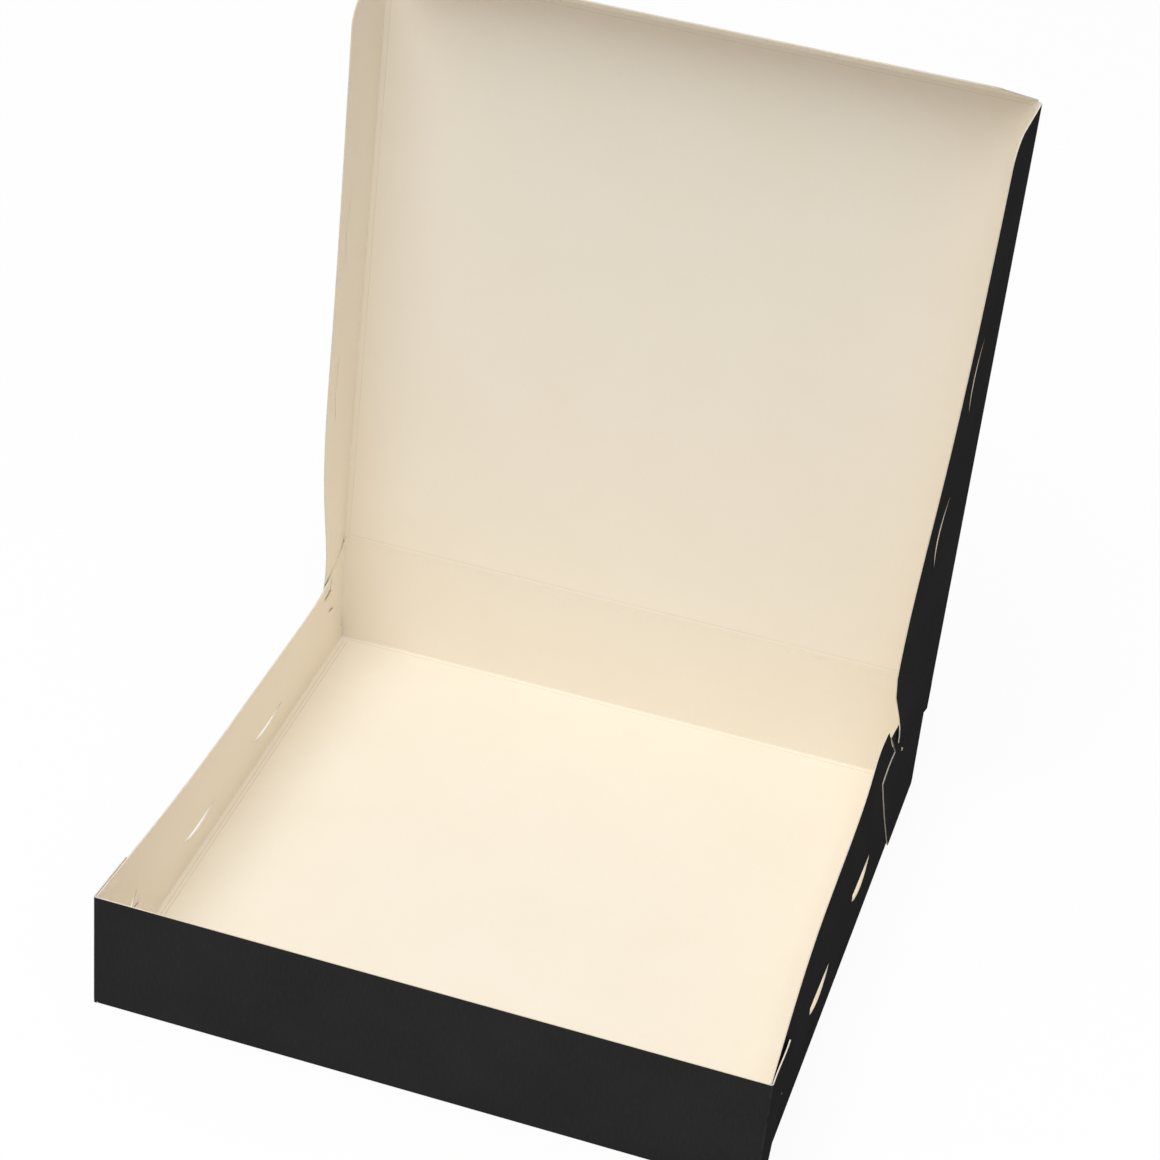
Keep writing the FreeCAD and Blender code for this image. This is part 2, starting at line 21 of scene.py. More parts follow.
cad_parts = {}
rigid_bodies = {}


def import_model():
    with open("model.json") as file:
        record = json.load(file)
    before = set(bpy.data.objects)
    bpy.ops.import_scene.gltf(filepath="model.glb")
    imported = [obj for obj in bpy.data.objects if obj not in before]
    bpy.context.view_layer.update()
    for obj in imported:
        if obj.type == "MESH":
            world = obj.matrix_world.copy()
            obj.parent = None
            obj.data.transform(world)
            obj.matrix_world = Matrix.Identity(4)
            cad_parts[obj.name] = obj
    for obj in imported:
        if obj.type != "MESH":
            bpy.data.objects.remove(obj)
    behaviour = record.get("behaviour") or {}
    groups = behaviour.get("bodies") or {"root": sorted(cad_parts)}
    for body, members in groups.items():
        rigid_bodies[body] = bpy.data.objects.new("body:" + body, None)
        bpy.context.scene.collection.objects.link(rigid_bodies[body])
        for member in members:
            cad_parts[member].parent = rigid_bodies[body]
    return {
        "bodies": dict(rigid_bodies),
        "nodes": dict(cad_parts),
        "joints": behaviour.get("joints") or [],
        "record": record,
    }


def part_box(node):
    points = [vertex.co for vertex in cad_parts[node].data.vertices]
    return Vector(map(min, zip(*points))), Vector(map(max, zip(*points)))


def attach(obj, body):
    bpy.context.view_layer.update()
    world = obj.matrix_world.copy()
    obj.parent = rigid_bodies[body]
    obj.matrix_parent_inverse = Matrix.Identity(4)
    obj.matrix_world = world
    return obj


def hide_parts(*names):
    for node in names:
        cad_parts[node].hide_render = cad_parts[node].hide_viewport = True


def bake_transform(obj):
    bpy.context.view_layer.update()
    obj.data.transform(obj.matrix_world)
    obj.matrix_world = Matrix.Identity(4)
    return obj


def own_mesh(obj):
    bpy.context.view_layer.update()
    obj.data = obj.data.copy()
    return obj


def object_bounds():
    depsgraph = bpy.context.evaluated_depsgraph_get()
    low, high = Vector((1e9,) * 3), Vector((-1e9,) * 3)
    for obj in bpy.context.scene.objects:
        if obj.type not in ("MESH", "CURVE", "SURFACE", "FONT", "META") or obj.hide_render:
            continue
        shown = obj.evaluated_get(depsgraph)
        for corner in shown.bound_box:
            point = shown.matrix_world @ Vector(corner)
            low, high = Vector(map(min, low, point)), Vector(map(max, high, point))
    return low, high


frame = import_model()
CAD_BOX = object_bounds()

MM = 0.001
BESIDE = 1.6 * MM  # how far beside a crease the mesh has its next row
SLACK = 0.1 * MM  # room for rounding, where a flat point is sorted to one side of a line
BEAD_SINK = 0.16 * MM  # how far a bead's middle lies below the face of the board
BEAD_STEP = 6 * MM  # how far apart the rings of a bead are
CUT_PIECES = 14  # how many straight pieces the edge of a half-moon has
SAME_POINT = 1e-4  # how near two flat points are one, in millimetres
SLIVER = 1e-12  # twice the area of the smallest triangle that is kept
WELD = 1e-6  # how near two corners of a finished mesh are one

Point = tuple[float, float]
Line = tuple[Point, Point]
Colour = tuple[float, float, float]
Socket = bpy.types.NodeSocket

log = logging.getLogger("cake_box")


class Hand(Enum):
    """The left and the right of the box, with the sign of X there."""

    LEFT = -1
    RIGHT = 1

    @property
    def word(self) -> str:
        """The name's word for this side."""
        return self.name.lower()

    @classmethod
    def of(cls, across: float) -> "Hand":
        """The side on which a distance from the middle lies."""
        return cls.RIGHT if across > 0 else cls.LEFT


class Layer(Enum):
    """The three surfaces of a piece of board."""

    OUTER = "Outer face"
    INNER = "Inner face"
    EDGE = "Cut edge"


# ---------------------------------------------------------------- plan and drawing helpers


@dataclass(frozen=True)
class Plan:
    """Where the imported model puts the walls, the hinge and the creases.

    Attributes:
        half_width: half of the tray's width.
        half_depth: half of the tray's depth.
        wall_height: the height of the walls.
        hinge: a point of the lid's hinge axis, in the middle of the box.
        lean: how far the open lid leans back, in radians.
        lid_length: the distance from the hinge to the front flap's crease.
        flap_x: the distance of the side flaps' creases from the middle.
        board: the thickness of the board.
    """

    half_width: float
    half_depth: float
    wall_height: float
    hinge: Vector
    lean: float
    lid_length: float
    flap_x: float
    board: float = 0.6 * MM

    @classmethod
    def from_frame(cls, model: dict[str, Any]) -> "Plan":
        """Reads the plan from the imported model.


        Returns:
            The plan of this box.
        """
        low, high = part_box("tray")
        joints = {joint["name"]: joint for joint in model["joints"]}
        hinge = Vector(joints["lid_hinge"]["pos_m"])
        front = Vector(joints["front_flap_crease"]["pos_m"])
        side = joints["left_flap_crease"]
        along = side["axis"]
        return cls(
            half_width=round((high.x - low.x) / 2, 3),
            half_depth=(high.y - low.y) / 2,
            wall_height=round(high.z, 3),
            hinge=hinge,
            lean=math.atan2(along[1], along[2]),
            lid_length=(front - hinge).length,
            flap_x=abs(side["pos_m"][0]),
        )

    def on_lid(self, across: float, along: float, inwards: float) -> Vector:
        """A point of the open lid's own space.

        Args:
            across: the distance to the right of the middle.
            along: the distance from the hinge, up the lid.
            inwards: the distance from the lid's plane towards the inside.

        Returns:
            The point in the row frame.
        """
        up = Vector((0, math.sin(self.lean), math.cos(self.lean)))
        inside = Vector((0, -math.cos(self.lean), math.sin(self.lean)))
        return self.hinge + Vector((across, 0, 0)) + up * along + inside * inwards


@dataclass(frozen=True)
class Fold:
    """A crease bent to an angle, rounded within a short reach on each side of its corner.

    Attributes:
        angle: how far the board turns, in radians.
        reach: how far from the corner the rounding starts and ends.
    """

    angle: float
    reach: float

    @property
    def radius(self) -> float:
        """The radius of the rounding."""
        return self.reach / math.tan(self.angle / 2)

    @property
    def run(self) -> float:
        """The length of board in the rounding."""
        return self.radius * self.angle

    def place(self, run: float) -> Point:
        """Where a point of the board comes to lie.

        Args:
            run: the distance along the board from the start of the rounding.

        Returns:
            The distances from the crease's corner, onwards and inwards.
        """
        if run <= 0:
            return run - self.reach, 0.0
        if run < self.run:
            turned = run / self.radius
            return self.radius * math.sin(turned) - self.reach, self.radius * (1 - math.cos(turned))
        beyond = run - self.run + self.reach
        return beyond * math.cos(self.angle), beyond * math.sin(self.angle)


class SmoothCurve:
    """A natural cubic curve through some points."""

    def __init__(self, places: Sequence[float], values: Sequence[float]) -> None:
        """Works out the curve.

        Args:
            places: where the values hold, from low to high.
            values: the curve's value at each place.
        """
        self.places = np.array(places, float)
        self.values = np.array(values, float)
        step = np.diff(self.places)
        slope = np.diff(self.values) / step
        count = len(self.places)
        system = np.eye(count)
        change = np.zeros(count)
        for i in range(1, count - 1):
            system[i, i - 1 : i + 2] = step[i - 1], 2 * (step[i - 1] + step[i]), step[i]
            change[i] = 6 * (slope[i] - slope[i - 1])
        self.bends = np.linalg.solve(system, change)

    def __call__(self, place: float) -> float:
        """The curve's value at a place, held at its ends beyond them.

        Args:
            place: where the value is wanted.

        Returns:
            The value there.
        """
        place = min(max(place, self.places[0]), self.places[-1])
        i = int(min(np.searchsorted(self.places, place, side="right"), len(self.places) - 1)) - 1
        step = self.places[i + 1] - self.places[i]
        low = (self.places[i + 1] - place) / step
        high = (place - self.places[i]) / step
        curved = (low**3 - low) * self.bends[i] + (high**3 - high) * self.bends[i + 1]
        return float(low * self.values[i] + high * self.values[i + 1] + curved * step**2 / 6)


def smooth(share: float) -> float:
    """A share from 0 to 1 that starts and ends gently."""
    share = min(max(share, 0.0), 1.0)
    return share * share * (3 - 2 * share)


def steps(start: float, end: float, count: int) -> list[float]:
    """Evenly spaced numbers, both ends included."""
    return [start + (end - start) * i / count for i in range(count + 1)]


def arc(start: Point, end: Point, radius: float, count: int = 12) -> list[Point]:
    """The inner points of an arc between two points.

    Args:
        start: where the arc starts.
        end: where it ends.
        radius: its radius, positive where it curves to the left as it goes.
        count: how many straight pieces it gets.

    Returns:
        The points between the two ends.
    """
    chord = Vector(end) - Vector(start)
    rise = math.sqrt(max(radius * radius - chord.length_squared / 4, 0.0))
    left = Vector((-chord.y, chord.x)).normalized()
    centre = (Vector(start) + Vector(end)) / 2 + left * math.copysign(rise, radius)
    first = Vector(start) - centre
    sweep = -first.angle_signed(Vector(end) - centre)
    return [tuple(centre + Matrix.Rotation(sweep * i / count, 2) @ first) for i in range(1, count)]


def sagging(start: Point, end: Point, depth: float, count: int = 10) -> list[Point]:
    """The inner points of a shallow arc that hangs to the right of its chord.

    Args:
        start: where the arc starts.
        end: where it ends.
        depth: how far it hangs down in its middle.
        count: how many straight pieces it gets.

    Returns:
        The points between the two ends.
    """
    first, last = Vector(start), Vector(end)
    chord = last - first
    right = Vector((chord.y, -chord.x)).normalized()
    shares = [i / count for i in range(1, count)]
    return [tuple(first.lerp(last, s) + right * (4 * depth * s * (1 - s))) for s in shares]


# ---------------------------------------------------------------- blanks and node trees


@dataclass
class Blank:
    """A flat piece of board before it is folded.

    Attributes:
        outline: the corners of its outer edge, counter-clockwise.
        holes: the corners of each hole.
        rules: straight lines that the mesh follows, such as the rows of a fold.
        creases: the lines where the board is creased, along which the finishes change colour: paler
            scuffs on the black face, painted shade on the cream face.
    """

    outline: list[Point]
    holes: list[list[Point]] = field(default_factory=list)
    rules: list[Line] = field(default_factory=list)
    creases: list[Line] = field(default_factory=list)

    def add_grid(
        self, columns: Iterable[float], rows: Iterable[float], low: Point, high: Point
    ) -> None:
        """Adds rules across a rectangle.

        Args:
            columns: where the lines along v stand.
            rows: where the lines along u stand.
            low: the rectangle's lowest corner.
            high: its highest corner.
        """
        self.rules += [((u, low[1]), (u, high[1])) for u in columns]
        self.rules += [((low[0], v), (high[0], v)) for v in rows]

    def triangles(self) -> tuple[np.ndarray, list[tuple[int, int, int]]]:
        """Cuts the blank into triangles along its rules.

        Returns:
            The flat corners, and the triangles as numbers of corners.
        """
        points: list[Vector] = []
        edges: list[tuple[int, int]] = []
        for loop in [self.outline, *self.holes]:
            first = len(points)
            points += [Vector(p) / MM for p in loop]
            edges += [(first + i, first + (i + 1) % len(loop)) for i in range(len(loop))]
        for start, end in self.rules:
            edges.append((len(points), len(points) + 1))
            points += [Vector(start) / MM, Vector(end) / MM]
        found = delaunay_2d_cdt(points, edges, [], 0, SAME_POINT)
        flat = np.array([tuple(p) for p in found[0]]) * MM
        faces = np.array([tuple(f) for f in found[2]])
        middles = flat[faces].mean(axis=1)
        inside = self._within(middles, self.outline)
        for hole in self.holes:
            inside &= ~self._within(middles, hole)
        faces = faces[inside]
        a, b, c = (flat[faces[:, i]] for i in range(3))
        turn = (b[:, 0] - a[:, 0]) * (c[:, 1] - a[:, 1]) - (b[:, 1] - a[:, 1]) * (c[:, 0] - a[:, 0])
        faces[turn < 0] = faces[turn < 0][:, ::-1]
        used, numbers = np.unique(faces[np.abs(turn) > SLIVER], return_inverse=True)
        return flat[used], [tuple(int(n) for n in f) for f in numbers.reshape(-1, 3)]

    @staticmethod
    def _within(points: np.ndarray, loop: Sequence[Point]) -> np.ndarray:
        """Tells which points lie inside a closed loop.

        Args:
            points: the flat points.
            loop: the loop's corners in order.

        Returns:
            True or False for each point.
        """
        corners = np.array(loop)
        inside = np.zeros(len(points), bool)
        for (x0, y0), (x1, y1) in zip(corners, np.roll(corners, -1, axis=0)):
            if y0 == y1:
                continue
            crossed = (points[:, 1] < y0) != (points[:, 1] < y1)
            inside ^= crossed & (points[:, 0] < x0 + (points[:, 1] - y0) * (x1 - x0) / (y1 - y0))
        return inside

    def crease_mask(self, flat: np.ndarray, reach: float = 1.6 * MM) -> np.ndarray:
        """How near each corner is to a crease.

        Args:
            flat: the flat corners.
            reach: how far from a crease the mask reaches.

        Returns:
            A number for each corner: 1 on a crease, and 0 beyond the reach.
        """
        nearest = np.full(len(flat), np.inf)
        for start, end in self.creases:
            along = np.array(end) - start
            share = np.clip((flat - start) @ along / (along @ along), 0, 1)
            foot = start + share[:, None] * along
            nearest = np.minimum(nearest, np.linalg.norm(flat - foot, axis=1))
        return np.clip(1 - nearest / reach, 0, 1)

    def folded(
        self, name: str, fold: Callable[[float, float], Vector], turned: bool = False
    ) -> bpy.types.Object:
        """Makes the middle surface of the folded board.

        Args:
            name: the object's name.
            fold: gives the place of a flat point.
            turned: whether the flat side that faces up becomes the outer face.

        Returns:
            The surface, whose faces point to the inner face's side. Its map "Sheet" holds
            the flat place of each corner, and "Crease" how near each corner is to a crease.
        """
        flat, faces = self.triangles()
        if turned:
            faces = [face[::-1] for face in faces]
        mesh = bpy.data.meshes.new(name)
        mesh.from_pydata([fold(u, v) for u, v in flat], [], faces)
        sheet = mesh.uv_layers.new(name="Sheet")
        corners = np.zeros(len(mesh.loops), int)
        mesh.loops.foreach_get("vertex_index", corners)
        sheet.data.foreach_set("uv", flat[corners].astype(np.float32).ravel())
        crease = mesh.attributes.new("Crease", "FLOAT", "POINT")
        crease.data.foreach_set("value", self.crease_mask(flat).astype(np.float32))
        return bpy.data.objects.new(name, mesh)


class NodeTree:
    """A geometry node tree with named inputs, which is run once to make a plain mesh."""

    def __init__(self, name: str) -> None:
        """Starts a tree that takes and gives geometry.

        Args:
            name: the tree's name.
        """
        self.tree = bpy.data.node_groups.new(name, "GeometryNodeTree")
        self.identifiers: dict[str, str] = {}
        self._source = self.tree.nodes.new("NodeGroupInput")
        self.geometry = self.take("Geometry", "NodeSocketGeometry")
        self.tree.interface.new_socket("Geometry", in_out="OUTPUT", socket_type="NodeSocketGeometry")

    def take(self, name: str, kind: str) -> Socket:
        """Adds a named input.

        Args:
            name: the input's name.
            kind: its socket type.

        Returns:
            Its socket inside the tree.
        """
        made = self.tree.interface.new_socket(name, in_out="INPUT", socket_type=kind)
        self.identifiers[name] = made.identifier
        return self._source.outputs[name]

    def node(self, kind: str, **settings: Any) -> bpy.types.Node:
        """Adds a node.

        Args:
            kind: the node's type.
            settings: its options by name; an input's name takes a value or a socket.

        Returns:
            The node.
        """
        made = self.tree.nodes.new(kind)
        for key, value in settings.items():
            socket = made.inputs.get(key.replace("_", " ").title())
            if socket is None:
                setattr(made, key, value)
            elif isinstance(value, Socket):
                self.tree.links.new(value, socket)
            else:
                socket.default_value = value
        return made

    def give(self, geometry: Socket) -> None:
        """Ends the tree with the geometry that it gives."""
        self.tree.links.new(geometry, self.tree.nodes.new("NodeGroupOutput").inputs[0])

    def run(self, source: bpy.types.Object, values: dict[str, Any]) -> bpy.types.Object:
        """Runs the tree on an object and keeps the result as a plain mesh.

        Args:
            source: the object that the tree takes, which is used up.
            values: the value of each named input.

        Returns:
            A new object of the same name, with no modifier.
        """
        name = source.name
        bpy.context.scene.collection.objects.link(source)
        modifier = source.modifiers.new("nodes", "NODES")
        modifier.node_group = self.tree
        for key, value in values.items():
            modifier[self.identifiers[key]] = value
        graph = bpy.context.evaluated_depsgraph_get()
        mesh = bpy.data.meshes.new_from_object(
            source.evaluated_get(graph), preserve_all_data_layers=True, depsgraph=graph
        )
        old = source.data
        source.modifiers.remove(modifier)
        bpy.data.objects.remove(source)
        bpy.data.meshes.remove(old)
        mesh.name = name
        piece = bpy.data.objects.new(name, mesh)
        bpy.context.scene.collection.objects.link(piece)
        return piece


class BoardTree(NodeTree):
    """Gives a folded middle surface its thickness, its two faces and its cut edge."""

    def __init__(self) -> None:
        """Builds the tree."""
        super().__init__("board")
        board = self.take("Board", "NodeSocketFloat")
        finishes = {layer: self.take(layer.value, "NodeSocketMaterial") for layer in Layer}
        half = self.node("ShaderNodeMath", operation="MULTIPLY")
        self.tree.links.new(board, half.inputs[0])
        half.inputs[1].default_value = -0.5

        normal = self.node("GeometryNodeInputNormal")
        kept = self.node("GeometryNodeCaptureAttribute", domain="POINT")
        kept.capture_items.new("VECTOR", "Towards inside")
        self.tree.links.new(self.geometry, kept.inputs[0])
        self.tree.links.new(normal.outputs[0], kept.inputs[1])
        towards = kept.outputs[1]

        back = self.node("ShaderNodeVectorMath", operation="SCALE")
        self.tree.links.new(towards, back.inputs[0])
        self.tree.links.new(half.outputs[0], back.inputs["Scale"])
        outer = self.node(
            "GeometryNodeSetPosition", geometry=kept.outputs[0], offset=back.outputs[0]
        )
        thick = self.node(
            "GeometryNodeExtrudeMesh", mesh=outer.outputs[0], offset=towards, offset_scale=board
        )
        thick.inputs["Individual"].default_value = False
        flipped = self.node("GeometryNodeFlipFaces", mesh=outer.outputs[0])
        joined = self.node("GeometryNodeJoinGeometry")
        self.tree.links.new(thick.outputs["Mesh"], joined.inputs[0])
        self.tree.links.new(flipped.outputs[0], joined.inputs[0])
        closed = self.node("GeometryNodeMergeByDistance", geometry=joined.outputs[0], distance=WELD)
        rounded = self.node(
            "GeometryNodeSetShadeSmooth", geometry=closed.outputs[0], shade_smooth=True
        )
        sharp = self.node(
            "GeometryNodeSetShadeSmooth",
            domain="EDGE",
            geometry=rounded.outputs[0],
            selection=thick.outputs["Side"],
            shade_smooth=False,
        )
        plain = self.node("GeometryNodeRealizeInstances", geometry=sharp.outputs[0])
        shape = plain.outputs[0]
        for layer, part in ((Layer.OUTER, None), (Layer.INNER, "Top"), (Layer.EDGE, "Side")):
            dressed = self.node("GeometryNodeSetMaterial", geometry=shape, material=finishes[layer])
            if part is not None:
                self.tree.links.new(thick.outputs[part], dressed.inputs["Selection"])
            shape = dressed.outputs[0]
        self.give(shape)


class BeadTree(NodeTree):
    """Sweeps a fine round bead along lines, for the raised lines beside the creases."""

    def __init__(self) -> None:
        """Builds the tree."""
        super().__init__("crease_beads")
        radius = self.take("Bead radius", "NodeSocketFloat")
        spacing = self.take("Spacing", "NodeSocketFloat")
        finish = self.take("Finish", "NodeSocketMaterial")
        curve = self.node("GeometryNodeMeshToCurve", mesh=self.geometry)
        even = self.node(
            "GeometryNodeResampleCurve", mode="LENGTH", curve=curve.outputs[0], length=spacing
        )
        ring = self.node("GeometryNodeCurvePrimitiveCircle", resolution=8, radius=radius)
        swept = self.node(
            "GeometryNodeCurveToMesh",
            curve=even.outputs[0],
            profile_curve=ring.outputs[0],
            fill_caps=True,
        )
        rounded = self.node(
            "GeometryNodeSetShadeSmooth", geometry=swept.outputs[0], shade_smooth=True
        )
        plain = self.node("GeometryNodeRealizeInstances", geometry=rounded.outputs[0])
        dressed = self.node("GeometryNodeSetMaterial", geometry=plain.outputs[0], material=finish)
        self.give(dressed.outputs[0])


# ---------------------------------------------------------------- finishes


@dataclass(frozen=True)
class Noise:
    """A noise that lies on the board.

    Attributes:
        scale: how fine it is, per metre.
        detail: how many finer octaves it has.
        stretch: how it is drawn out along the two flat directions.
    """

    scale: float
    detail: float
    stretch: Point = (1.0, 1.0)

    def add(self, nodes: bpy.types.Nodes, links: bpy.types.NodeLinks, place: Socket) -> Socket:
        """Adds the noise to a material.

        Args:
            nodes: the material's nodes.
            links: the material's links.
            place: the socket that gives the place on the board.

        Returns:
            The socket that gives the noise.
        """
        mapping = nodes.new("ShaderNodeMapping")
        mapping.inputs["Scale"].default_value = (*self.stretch, 1.0)
        links.new(place, mapping.inputs["Vector"])
        noise = nodes.new("ShaderNodeTexNoise")
        noise.inputs["Scale"].default_value = self.scale
        noise.inputs["Detail"].default_value = self.detail
        links.new(mapping.outputs[0], noise.inputs["Vector"])
        return noise.outputs["Fac"]


CLOUDS = Noise(scale=22.0, detail=3.0)
FIBRES = Noise(scale=900.0, detail=2.0, stretch=(1.0, 0.22))
FELT = Noise(scale=260.0, detail=4.0, stretch=(1.0, 0.8))


@dataclass(frozen=True)
class BoardFinish:
    """One surface of the board: its colour, its fibres, and its marks along the creases: paler scuffs
    on the black face, painted shade on the cream face.

    Attributes:
        name: the material's name.
        colour: the colour of most of the surface.
        cloud: the colour of its broad, soft patches.
        fleck: the colour of its fine fibres.
        fleck_share: how strongly the fibres show.
        roughness: how matt it is.
        gloss: the shader's specular level.
        grain: how far the fibres stand out, in metres.
        wear_and_crease_shade: the colour along the creases: paler scuffed board on the black face, a
            darker painted shade of the creases on the cream face.
        wear_and_shade_share: how strongly it shows there.
        on_sheet: whether it lies on the map "Sheet", and not in the piece's own space.
        cloud_span: the values of its noise between which the patches set in.
        fleck_span: the same for the fibres.
        wear_and_shade_span: the same for the crease marks.
    """

    name: str
    colour: Colour
    cloud: Colour
    fleck: Colour
    fleck_share: float
    roughness: float
    gloss: float
    grain: float
    wear_and_crease_shade: Colour
    wear_and_shade_share: float
    on_sheet: bool = True
    cloud_span: Point = (0.35, 0.75)
    fleck_span: Point = (0.45, 0.8)
    wear_and_shade_span: Point = (0.3, 0.75)

    def material(self) -> bpy.types.Material:
        """Builds the material.

        Returns:
            The material.
        """
        made = bpy.data.materials.new(self.name)
        made.use_nodes = True
        nodes, links = made.node_tree.nodes, made.node_tree.links
        shader = nodes["Principled BSDF"]
        shader.inputs["Specular IOR Level"].default_value = self.gloss
        shader.inputs["Roughness"].default_value = self.roughness

        if self.on_sheet:
            sheet = nodes.new("ShaderNodeUVMap")
            sheet.uv_map = "Sheet"
            place = sheet.outputs[0]
        else:
            place = nodes.new("ShaderNodeTexCoord").outputs["Object"]
        clouds = CLOUDS.add(nodes, links, place)
        fibres = FIBRES.add(nodes, links, place)
        felt = FELT.add(nodes, links, place)

        soft = self._mix(nodes, links, clouds, self.colour, self.cloud, self.cloud_span)
        flecked = self._mix(
            nodes, links, fibres, soft, self.fleck, self.fleck_span, self.fleck_share
        )
        # Along the creases the colour changes: paler scuffed board on the black face, and on the
        # cream face a darker colour that is painted shade of the pressed creases.
        crease = nodes.new("ShaderNodeAttribute")
        crease.attribute_name = "Crease"
        crease_mask = nodes.new("ShaderNodeMath")
        crease_mask.operation = "MULTIPLY"
        links.new(crease.outputs["Fac"], crease_mask.inputs[0])
        links.new(felt, crease_mask.inputs[1])
        crease_marked = self._mix(
            nodes, links, crease_mask.outputs[0], flecked, self.wear_and_crease_shade, self.wear_and_shade_span, self.wear_and_shade_share
        )
        links.new(crease_marked, shader.inputs["Base Color"])

        heights = nodes.new("ShaderNodeMath")
        heights.operation = "ADD"
        links.new(fibres, heights.inputs[0])
        links.new(felt, heights.inputs[1])
        bump = nodes.new("ShaderNodeBump")
        bump.inputs["Strength"].default_value = 1.0
        bump.inputs["Distance"].default_value = self.grain
        links.new(heights.outputs[0], bump.inputs["Height"])
        links.new(bump.outputs[0], shader.inputs["Normal"])
        return made

    @staticmethod
    def _mix(
        nodes: bpy.types.Nodes,
        links: bpy.types.NodeLinks,
        where: Socket,
        below: Socket | Colour,
        above: Colour,
        span: Point,
        share: float = 1.0,
    ) -> Socket:
        """Mixes two colours by a value.

        Args:
            nodes: the material's nodes.
            links: the material's links.
            where: the socket whose value decides.
            below: the colour or socket for low values.
            above: the colour for high values.
            span: the values at which the change starts and ends.
            share: the most of the second colour that shows.

        Returns:
            The socket that gives the colour.
        """
        level = nodes.new("ShaderNodeMapRange")
        level.inputs["From Min"].default_value = span[0]
        level.inputs["From Max"].default_value = span[1]
        level.inputs["To Max"].default_value = share
        links.new(where, level.inputs["Value"])
        mix = nodes.new("ShaderNodeMix")
        mix.data_type = "RGBA"
        links.new(level.outputs[0], mix.inputs["Factor"])
        for socket, colour in ((mix.inputs[6], below), (mix.inputs[7], above)):
            if isinstance(colour, Socket):
                links.new(colour, socket)
            else:
                socket.default_value = (*colour, 1.0)
        return mix.outputs[2]


CREAM_LINER = BoardFinish(
    name="cream_liner",
    colour=(0.928, 0.855, 0.735),
    cloud=(0.918, 0.84, 0.711),
    fleck=(0.86, 0.765, 0.60),
    fleck_share=0.08,
    roughness=0.62,
    gloss=0.25,
    grain=0.03 * MM,
    # painted shade: a darker colour along the creases, standing in for the shade of the pressed
    # creases
    wear_and_crease_shade=(0.78, 0.67, 0.50),
    wear_and_shade_share=0.30,
)
BLACK_FACE = BoardFinish(
    name="black_face",
    colour=(0.030, 0.030, 0.031),
    cloud=(0.035, 0.035, 0.036),
    fleck=(0.046, 0.045, 0.044),
    fleck_share=0.30,
    roughness=0.8,
    gloss=0.0,
    grain=0.02 * MM,
    # paler scuffed board along the creases
    wear_and_crease_shade=(0.16, 0.145, 0.125),
    wear_and_shade_share=0.22,
)
# Painted shade: the beads beside the creases get a colour darker than the liner, which stands in for
# the shade of the pressed score lines.
CREASE_SHADE_BEAD = BoardFinish(
    name="pressed_line",
    colour=(0.75, 0.66, 0.51),
    cloud=(0.83, 0.745, 0.595),
    fleck=(0.66, 0.57, 0.44),
    fleck_share=0.3,
    roughness=0.7,
    gloss=0.1,
    grain=0.02 * MM,
    wear_and_crease_shade=(0.66, 0.57, 0.44),
    wear_and_shade_share=0.0,
    on_sheet=False,
)
PALE_EDGE = BoardFinish(
    name="pale_cut_edge",
    colour=(0.82, 0.75, 0.63),
    cloud=(0.74, 0.66, 0.53),
    fleck=(0.55, 0.46, 0.34),
    fleck_share=0.35,
    roughness=0.85,
    gloss=0.15,
    grain=0.04 * MM,
    # a darker colour along the creases
    wear_and_crease_shade=(0.70, 0.62, 0.50),
    wear_and_shade_share=0.20,
)


class Wardrobe:
    """The board's finishes, and the node trees that put them on."""

    def __init__(self, plan: Plan) -> None:
        """Builds the materials and the trees once, for every piece.

        Args:
            plan: gives the thickness of the board.
        """
        self.plan = plan
        self.materials = {
            Layer.OUTER: BLACK_FACE.material(),
            Layer.INNER: CREAM_LINER.material(),
            Layer.EDGE: PALE_EDGE.material(),
        }
        # the beads' darker colour, painted shade of the score lines
        self.line = CREASE_SHADE_BEAD.material()
        self.board_tree = BoardTree()
        self.bead_tree = BeadTree()

    def board(self, surface: bpy.types.Object) -> bpy.types.Object:
        """Turns a folded middle surface into a finished piece of board."""
        values: dict[str, Any] = {layer.value: self.materials[layer] for layer in Layer}
        return self.board_tree.run(surface, {**values, "Board": self.plan.board})

    def beads(self, name: str, lines: Sequence[Sequence[Vector]], radius: float) -> bpy.types.Object:
        """Raises fine beads along lines of the inner face.

        Args:
            name: the piece's name.
            lines: the points of each line.
            radius: the bead's radius.

        Returns:
            The finished piece.
        """
        points = [point for line in lines for point in line]
        edges: list[tuple[int, int]] = []
        first = 0
        for line in lines:
            edges += [(first + i, first + i + 1) for i in range(len(line) - 1)]
            first += len(line)
        mesh = bpy.data.meshes.new(name)
        mesh.from_pydata(points, edges, [])
        values = {"Bead radius": radius, "Spacing": BEAD_STEP, "Finish": self.line}
        return self.bead_tree.run(bpy.data.objects.new(name, mesh), values)


# ---------------------------------------------------------------- tray


